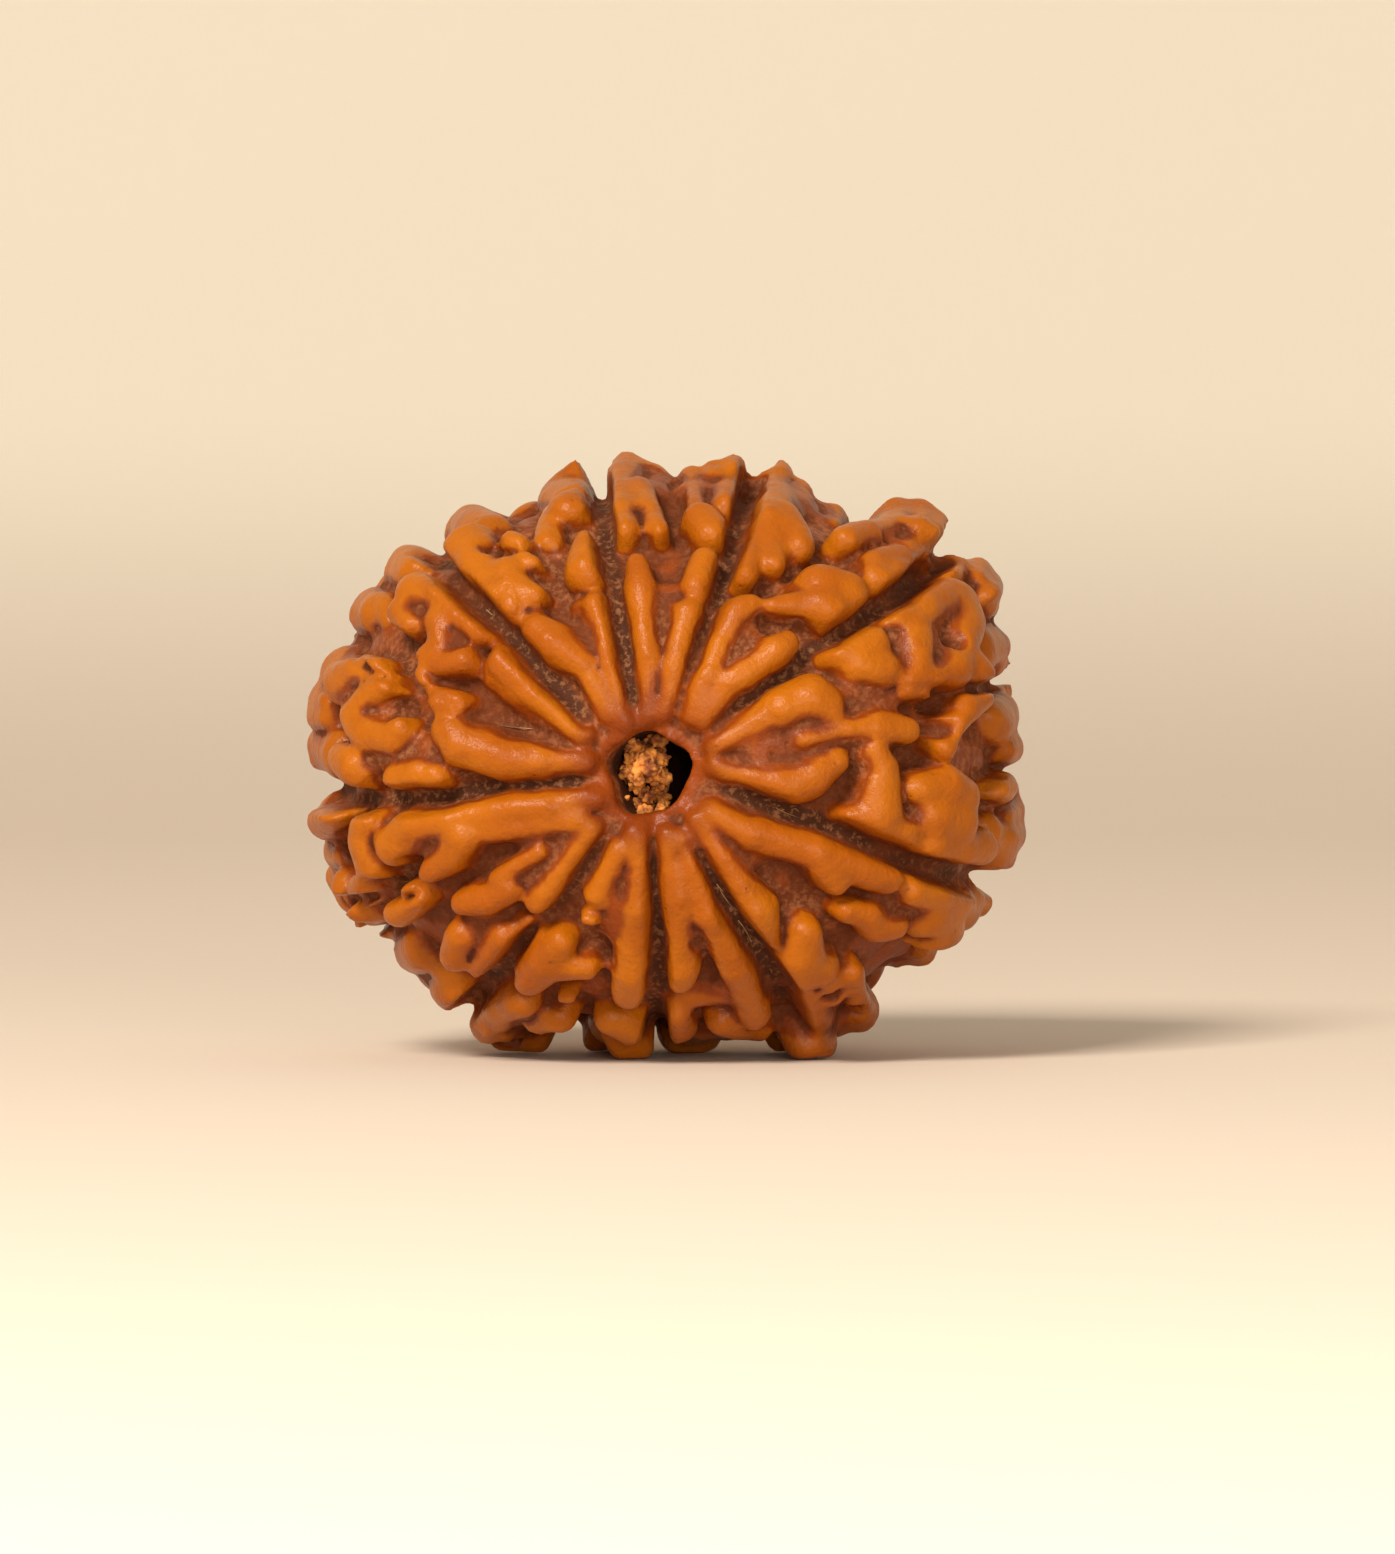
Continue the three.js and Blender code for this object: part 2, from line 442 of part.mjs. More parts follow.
// A ridge of the front, or one for each point of what stands behind its rim
function frontRidges({ points, y }) {
  if (y !== undefined) {
    return points.map(([x, z, halfWidth]) => ridgeSolid([-BEHIND_REACH, BEHIND_REACH].map((reach) => {
      return { at: new THREE.Vector3(x, y + reach, z), halfWidth };
    })));
  }
  return ridgeSolid(points.map(([x, z, halfWidth]) => {
    const distance = Math.hypot(x - CHANNEL_FRONT.x, z - CHANNEL_FRONT.y);
    return { at: frontPoint(x, z, interpolate(RISE_BY_DISTANCE, distance)), halfWidth };
  }));
}

// The channel: a bent tube, widest at its mouths, its section a little uneven
function channelSolid() {
  const stretches = CHANNEL_SHARES.length - 1;
  const geometry = new THREE.CylinderGeometry(1, 1, 1, CHANNEL_SIDES, stretches);
  const position = geometry.attributes.position;
  for (let i = 0; i < position.count; i += 1) {
    const share = CHANNEL_SHARES[Math.round((0.5 - position.getY(i)) * stretches)];
    const overrun = Math.round(2 * share - 1) * CHANNEL_OVERRUN * (share % 1 === 0 ? 1 : 0);
    const y = (2 * share - 1) * BODY_HALF.y + overrun;
    const centre = CHANNEL_FRONT.clone().lerp(CHANNEL_BACK, share);
    centre.addScaledVector(CHANNEL_BEND, Math.sin(Math.PI * share));
    const waist = THREE.MathUtils.lerp(1, CHANNEL_WAIST, Math.sin(Math.PI * share));
    const turn = Math.atan2(position.getZ(i), position.getX(i));
    const uneven = 1 + 0.05 * Math.sin(3 * turn + 1) + 0.04 * Math.sin(5 * turn);
    const size = CHANNEL_RADIUS * waist * uneven;
    position.setXYZ(i, centre.x + position.getX(i) * size, y, centre.y + position.getZ(i) * size);
  }
  return solidOf(geometry);
}

// The beaded ridges on both sides of a furrow, from the rim to the back mouth
function backRidges(furrow, wander, random) {
  const bearing = rimBearing(furrow);
  return [-1, 1].map((side) => ridgeSolid(BEADS.map(([beadAngle, beadWidth]) => {
    const angle = beadAngle + (random() - 0.5) * 4;
    const halfWidth = beadWidth * (0.85 + 0.3 * random());
    const rim = BODY_MEAN_RADIUS * Math.sin(THREE.MathUtils.degToRad(angle));
    const stray = angle < BEAD_STRAY_END ? BEAD_CLEARANCE[1] * random() : 0;
    const distance = BEAD_CLEARANCE[0] + beadWidth + stray;
    const away = side * THREE.MathUtils.radToDeg(distance / rim);
    const waist = beadWidth < BEAD_WAIST ? BEAD_WAIST_DROP : 0;
    const rise = interpolate(BEAD_RISE, angle) - waist;
    return { at: polarPoint(bearing + wander(angle) + away, angle, rise), halfWidth };
  })));
}

// Knobs whose flat undersides the stone lies on, once what is below the surface is cut away
function restKnobs() {
  return REST_KNOBS.map(([x, y, halfWidth]) => {
    const at = new THREE.Vector3(x, y, 0);
    const crown = CROWN_BASE + CROWN_SHARE * halfWidth;
    at.z = -outward(at).z * crown - REST_SINK;
    return ridgeSolid([{ at, halfWidth }]);
  });
}

// Lumps of pith that have set fast to the channel's wall
function pithLumps() {
  return PITH_LUMPS.map(([x, inFromFront, z, radius]) => {
    const geometry = new THREE.IcosahedronGeometry(radius, 0);
    return solidOf(geometry.translate(x, inFromFront - BODY_HALF.y, z));
  });
}

// The whole stone before it is fitted to its size
function stoneSolid() {
  const random = seededRandom(BACK_RANDOM_SEED);
  const wanders = FURROWS.map(() => {
    const size = 2.5 * (random() - 0.5);
    return (angle) => size * Math.sin(THREE.MathUtils.degToRad(3 * (angle - 90)));
  });
  const raised = [
    bodySolid(wanders),
    ...FRONT_RIDGES.flatMap(frontRidges),
    ...FURROWS.flatMap((f, i) => backRidges(f, wanders[i], random)),
    ...restKnobs(),
  ];
  const whole = wasm.Manifold.union(raised);
  const bored = wasm.Manifold.union([whole.subtract(channelSolid()), ...pithLumps()]);
  const block = new THREE.BoxGeometry(FLOOR_BLOCK, FLOOR_BLOCK, FLOOR_BLOCK);
  return bored.subtract(solidOf(block.translate(0, 0, -FLOOR_BLOCK / 2)));
}

// The triangles of the outermost skin: pockets that the ridges close off between them are filled
function outerSkin(triVerts) {
  const parent = Uint32Array.from({ length: Math.max(...triVerts) + 1 }, (_, i) => i);
  const rootOf = (i) => {
    let at = i;
    while (parent[at] !== at) {
      parent[at] = parent[parent[at]];
      at = parent[at];
    }
    return at;
  };
  for (let i = 0; i < triVerts.length; i += 3) {
    parent[rootOf(triVerts[i])] = rootOf(triVerts[i + 1]);
    parent[rootOf(triVerts[i + 1])] = rootOf(triVerts[i + 2]);
  }
  const counts = new Map();
  triVerts.forEach((v) => counts.set(rootOf(v), (counts.get(rootOf(v)) ?? 0) + 1));
  const [largest] = [...counts.entries()].sort((p, q) => q[1] - p[1])[0];
  return triVerts.filter((v) => rootOf(v) === largest);
}

// The finished skin, stretched to the overall size and stood on the origin
function fittedGeometry(solid) {
  const { vertProperties, triVerts } = solid.getMesh();
  const geometry = new THREE.BufferGeometry();
  geometry.setAttribute("position", new THREE.BufferAttribute(new Float32Array(vertProperties), 3));
  geometry.setIndex(new THREE.BufferAttribute(outerSkin(new Uint32Array(triVerts)), 1));
  geometry.computeBoundingBox();
  const size = geometry.boundingBox.getSize(new THREE.Vector3());
  const centre = geometry.boundingBox.getCenter(new THREE.Vector3());
  geometry.translate(-centre.x, -centre.y, -geometry.boundingBox.min.z);
  geometry.scale(WIDTH / size.x, DEPTH / size.y, HEIGHT / size.z);
  geometry.computeVertexNormals();
  return geometry;
}

const stone = new THREE.Mesh(
  fittedGeometry(stoneSolid()),
  new THREE.MeshStandardMaterial({ color: STONE_COLOUR, roughness: STONE_ROUGHNESS, metalness: 0 }),
);
stone.name = "rudraksha_stone";

const rudraksha = new THREE.Group();
rudraksha.add(stone);

export default rudraksha;
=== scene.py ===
"""A dried rudraksha seed stone, seen along its stem channel, on a pale floor.

The stone's fine skin is raised over the same rounded body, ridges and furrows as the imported
solid and fitted to its size, with round crests, webs, pores and a grain. Dry husk fibres and
crumbs of pith lie in its furrows and its channel. Objects are in metres in the model's own
frame. The stone's drawing is in millimetres, x to the right and z up as seen from the front.
"""

import logging
import math
import random
from dataclasses import dataclass
from enum import Enum
from typing import Callable, Iterable, Sequence

import bpy
import numpy as np
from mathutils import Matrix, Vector, noise
from mathutils.kdtree import KDTree

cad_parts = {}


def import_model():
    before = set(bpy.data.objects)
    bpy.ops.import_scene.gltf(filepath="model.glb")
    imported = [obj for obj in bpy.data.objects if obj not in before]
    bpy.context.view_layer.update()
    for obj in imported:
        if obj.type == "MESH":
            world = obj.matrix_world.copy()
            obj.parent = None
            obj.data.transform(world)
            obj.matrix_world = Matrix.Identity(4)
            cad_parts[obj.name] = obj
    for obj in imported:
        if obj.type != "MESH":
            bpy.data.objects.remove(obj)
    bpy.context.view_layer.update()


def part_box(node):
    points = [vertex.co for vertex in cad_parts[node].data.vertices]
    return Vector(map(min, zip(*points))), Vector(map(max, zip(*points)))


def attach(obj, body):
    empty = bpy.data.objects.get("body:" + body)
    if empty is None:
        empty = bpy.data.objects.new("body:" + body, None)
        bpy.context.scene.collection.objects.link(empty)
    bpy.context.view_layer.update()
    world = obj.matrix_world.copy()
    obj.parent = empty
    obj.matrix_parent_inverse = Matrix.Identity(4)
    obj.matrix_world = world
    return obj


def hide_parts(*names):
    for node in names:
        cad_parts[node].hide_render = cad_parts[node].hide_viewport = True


LOG = logging.getLogger("rudraksha")

MM = 0.001
BODY = "root"
NODE = "rudraksha_stone"
SEED = 4127

IMAGE_WIDTH = 1395
IMAGE_HEIGHT = 1554
PIXELS_PER_MM = 24.0


class Piece(str, Enum):
    """Names of the pieces that are made here."""

    STONE = "stone_skin"
    FIBRES = "furrow_fibres"
    PITH = "channel_pith"
    FLOOR = "floor"


class Relief(str, Enum):
    """Names of the values that the stone's skin carries at each vertex."""

    HEIGHT = "relief"
    CREVICE = "crevice"
    CROWN = "crown"
    FURROW = "furrow"


@dataclass(frozen=True)
class StoneBody:
    """The rounded body under the ridges, an ellipsoid made squarer by its exponent.

    Attributes:
        centre: Its middle, in millimetres.
        half: Its half sizes, in millimetres.
        exponent: 2 is a plain ellipsoid, and more is squarer.
        mean_radius: Its rough radius, to which heights above it are compared.
    """

    centre: tuple[float, float, float]
    half: tuple[float, float, float]
    exponent: float
    mean_radius: float

    def gauge(self, points: np.ndarray) -> np.ndarray:
        """Measures points against the body.

        Args:
            points: Rows of x, y, z.

        Returns:
            1 for a point on the body's surface, less inside and more outside.
        """
        shares = np.abs((points - np.array(self.centre)) / np.array(self.half))
        return (shares**self.exponent).sum(axis=-1) ** (1 / self.exponent)

    def reach(self, rays: np.ndarray) -> np.ndarray:
        """Gives the distance from the centre to the surface along unit rays."""
        return 1 / self.gauge(np.array(self.centre) + rays)

    def outward(self, point: np.ndarray) -> np.ndarray:
        """Gives the direction straight out of the body at one point."""
        share = (point - np.array(self.centre)) / np.array(self.half)
        slope = np.sign(share) * np.abs(share) ** (self.exponent - 1) / np.array(self.half)
        return slope / np.linalg.norm(slope)

    def on_surface(self, point: np.ndarray) -> np.ndarray:
        """Moves a point straight to or from the centre, on to the body's surface."""
        return np.array(self.centre) + (point - np.array(self.centre)) / self.gauge(point)

    def front(self, x: float, z: float, rise: float = 0.0) -> np.ndarray:
        """Finds the point seen at x, z from the front, above the body or beside its rim.

        Args:
            x: Place across.
            z: Place up.
            rise: How far above the body, or below it if negative.

        Returns:
            The point.
        """
        half = np.array(self.half) * (1 + rise / self.mean_radius)
        across = abs((x - self.centre[0]) / half[0]) ** self.exponent
        up = abs((z - self.centre[2]) / half[2]) ** self.exponent
        left = max(0.0, 1 - across - up) ** (1 / self.exponent)
        return np.array([x, self.centre[1] - half[1] * left, z])

    def polar(self, bearing: float, angle: float, rise: float = 0.0) -> np.ndarray:
        """Finds the point at a bearing round the body and an angle from its front end.

        Args:
            bearing: Turn from +X towards +Z, in degrees.
            angle: 0 at the front end, 90 at the rim and 180 at the back end, in degrees.
            rise: How far above the body.

        Returns:
            The point.
        """
        turn, tilt = math.radians(bearing), math.radians(angle)
        aside, to_back = math.sin(tilt), max(0.0, -math.cos(tilt))
        ray = np.array([aside * math.cos(turn), -math.cos(tilt), aside * math.sin(turn)])
        point = ray * np.array(self.half) + np.array(self.centre)
        point[0] += (CHANNEL_BACK[0] - self.centre[0]) * to_back
        point[2] += (CHANNEL_BACK[1] - self.centre[2]) * to_back
        scale = (1 + rise / self.mean_radius) / self.gauge(point)
        return (point - np.array(self.centre)) * scale + np.array(self.centre)


@dataclass(frozen=True)
class Crest:
    """A ridge's or knob's crest line.

    Attributes:
        places: Rows of x, y, z on the crest, in millimetres.
        widths: The half width at each.
    """

    places: np.ndarray
    widths: np.ndarray


@dataclass(frozen=True)
class SkinPlan:
    """How fine the stone's skin is.

    Attributes:
        subdivisions: How often the first ball of the skin is divided.
        voxel: Grain of the even skin that is laid over the raised ball, in metres.
        rounding: Rounds of smoothing at the end.
        most_triangles: The finished skin stays under this many triangles.
    """

    subdivisions: int
    voxel: float
    rounding: int
    most_triangles: int


@dataclass(frozen=True)
class Lamp:
    """A soft square light.

    Attributes:
        name: The light's name.
        place: Where it hangs, in metres.
        size: Its side, in metres.
        watts: Its power.
        colour: Its colour, as red, green and blue from 0 to 1.
    """

    name: str
    place: tuple[float, float, float]
    size: float
    watts: float
    colour: tuple[float, float, float]


STONE_BODY = StoneBody((0.0, 0.0, 12.3), (12.7, 10.2, 10.3), 2.3, 11.0)

FULL_PLAN = SkinPlan(subdivisions=8, voxel=0.17 * MM, rounding=5, most_triangles=194_000)

# How far a crest's middle line stands above the body, by its distance from the channel
RISE_BY_DISTANCE = ((2.0, 0.3), (4.0, 0.65), (6.5, 1.05), (12.0, 1.4))
CROWN_BASE = 0.3
CROWN_SHARE = 0.55
# A ridge's half width at the foot by the one that is drawn. Its section is steeper at the foot for a
# lower power, which falls with the distance from the channel, and flatter on top for a higher exponent.
FOOT_WIDTH = ((0.2, 0.32), (0.4, 0.62), (0.6, 0.98), (0.9, 1.36), (1.2, 1.7))
SECTION_EXPONENT = 2.1
SECTION_POWER = ((3.0, 0.62), (8.0, 0.5), (12.0, 0.46))
# A crest falls by this many widths at its foot at most, so that tall knobs have round heads
KNOB_ROUNDNESS = 1.1
# How softly neighbouring ridges run together
JOIN_SOFTNESS = 0.06

# The floor between ridges: its height above the body, by distance from the channel
FLOOR_BY_DISTANCE = ((1.6, 0.3), (2.6, 0.2), (5.0, 0.18), (12.0, 0.45))
FLOOR_WAVES = 0.22

# Half width and depth of the furrows at the channel and at the rim. Their walls are steep at the
# bottom and rounder above: this high at 1 mm from the furrow, and rounder for a lower power.
FURROW_HALF_WIDTH = (0.05, 0.2)
FURROW_DEPTH = (0.0, 1.9)
FURROW_WALL = (2.4, 6.6)
FURROW_REACH = 0.45
FURROW_ROUNDNESS = 0.62
# How strongly each furrow cuts at the channel and at the rim, in the order of the list below, and how
# much higher a furrow's bottom lies that cuts less
FURROW_STRENGTH = (
    (1.0, 1.0), (1.0, 1.0), (0.5, 0.3), (1.0, 1.0), (0.5, 0.6), (0.6, 1.0),
    (1.0, 1.0), (1.0, 1.0), (1.0, 1.0), (0.1, 0.5), (0.7, 1.1), (0.9, 1.0),
)
FURROW_SHALLOW = 3.0
BACK_END = 162.0

WALL_SOFTNESS = 0.09
PIT_WALL = 5.0

# The stem channel runs from front to back and bends aside on its way, where it is also narrower
CHANNEL_FRONT = (-0.93, 12.15)
CHANNEL_BACK = (-0.5, 12.5)
CHANNEL_BEND = (3.6, -0.7)
CHANNEL_RADIUS = 1.7
CHANNEL_WAIST = 0.75

# From the rim to the back mouth, a beaded ridge follows each side of every furrow by rule
BEADS = ((75, 0.75), (89, 0.85), (102, 0.5), (115, 0.85), (129, 0.52), (142, 0.66), (165, 0.36))
BEAD_RISE = ((75, 0.8), (89, 1.0), (130, 1.0), (142, 0.8), (165, 0.2))
BEAD_WAIST = 0.55
BEAD_WAIST_DROP = 0.4
BEAD_CLEARANCE = (0.35, 0.5)
BEAD_STRAY_END = 140
# A ridge over the rim: how far it runs to the front and back, and how much narrower and lower it ends
BEHIND_REACH = (-1.7, 2.1)
BEHIND_END = (0.55, 0.3)
BACK_RANDOM_SEED = 8108
# Wide gaps between two furrows' beaded ridges hold loose knobs behind the rim: the room that one row
# of them takes, the angles at which they start, and their half widths, lengths and heights
LOOSE_ROOM = (3.4, 2.1)
LOOSE_ANGLES = (104, 118, 131, 143)
LOOSE_WIDTH = (0.42, 0.72)
LOOSE_LENGTH = (3.0, 9.0)
LOOSE_RISE = (0.3, 0.9)
# Beside and behind the rim all of it strays this much, along the stone and round it
STRAY = (2.4, 1.3)
STRAY_FINENESS = 0.32
STRAY_PLACES = ((-6.0, -1.0), (2.5, 7.0))

# Knobs under the stone that it rests on: x, y and half width
REST_KNOBS = (
    (-6.6, 1.4, 0.95), (-1.7, -2.2, 0.6), (-2.4, 3.4, 1.0),
    (0.9, 2.6, 0.95), (6.0, -1.6, 0.7), (5.6, 2.8, 1.05),
)
REST_SINK = 0.25

# The furrows seen from the front, from the channel to the rim, as x and z
FURROWS = (
    ((-1.3, 14.9), (-1.6, 16.5), (-2.0, 19.5), (-2.4, 21.6), (-2.5, 23.4)),
    ((-3.1, 14.0), (-4.2, 15.4), (-5.9, 17.4), (-7.6, 19.0), (-9.7, 21.1)),
    ((-5.0, 13.95), (-7.0, 14.3), (-8.7, 15.2), (-10.4, 15.6), (-11.6, 16.7), (-13.0, 17.2)),
    ((-3.6, 11.75), (-6.0, 11.6), (-8.5, 11.15), (-11.0, 10.95), (-14.4, 11.15)),
    ((-5.6, 9.3), (-7.4, 8.3), (-9.4, 7.5), (-11.3, 7.3), (-11.75, 6.4), (-12.2, 4.9)),
    ((-2.9, 9.2), (-3.8, 7.6), (-5.2, 5.9), (-6.5, 4.1), (-8.0, 2.2)),
    ((-0.6, 9.4), (-0.4, 7.2), (-0.3, 5.0), (-0.4, 3.0), (-0.35, 0.6)),
    ((1.2, 9.2), (2.1, 7.4), (3.3, 5.5), (4.3, 3.9), (4.9, 0.8)),
    ((2.4, 11.6), (4.2, 10.9), (6.4, 10.0), (9.2, 8.6), (13.4, 7.2)),
    ((4.4, 13.0), (6.2, 13.1), (8.0, 15.2), (10.4, 15.0), (12.3, 15.2)),
    ((2.4, 14.4), (4.2, 15.9), (6.1, 17.2), (8.4, 18.6), (11.2, 20.6)),
    ((0.65, 15.3), (1.3, 17.2), (2.2, 19.6), (2.8, 21.6), (3.3, 23.3)),
)

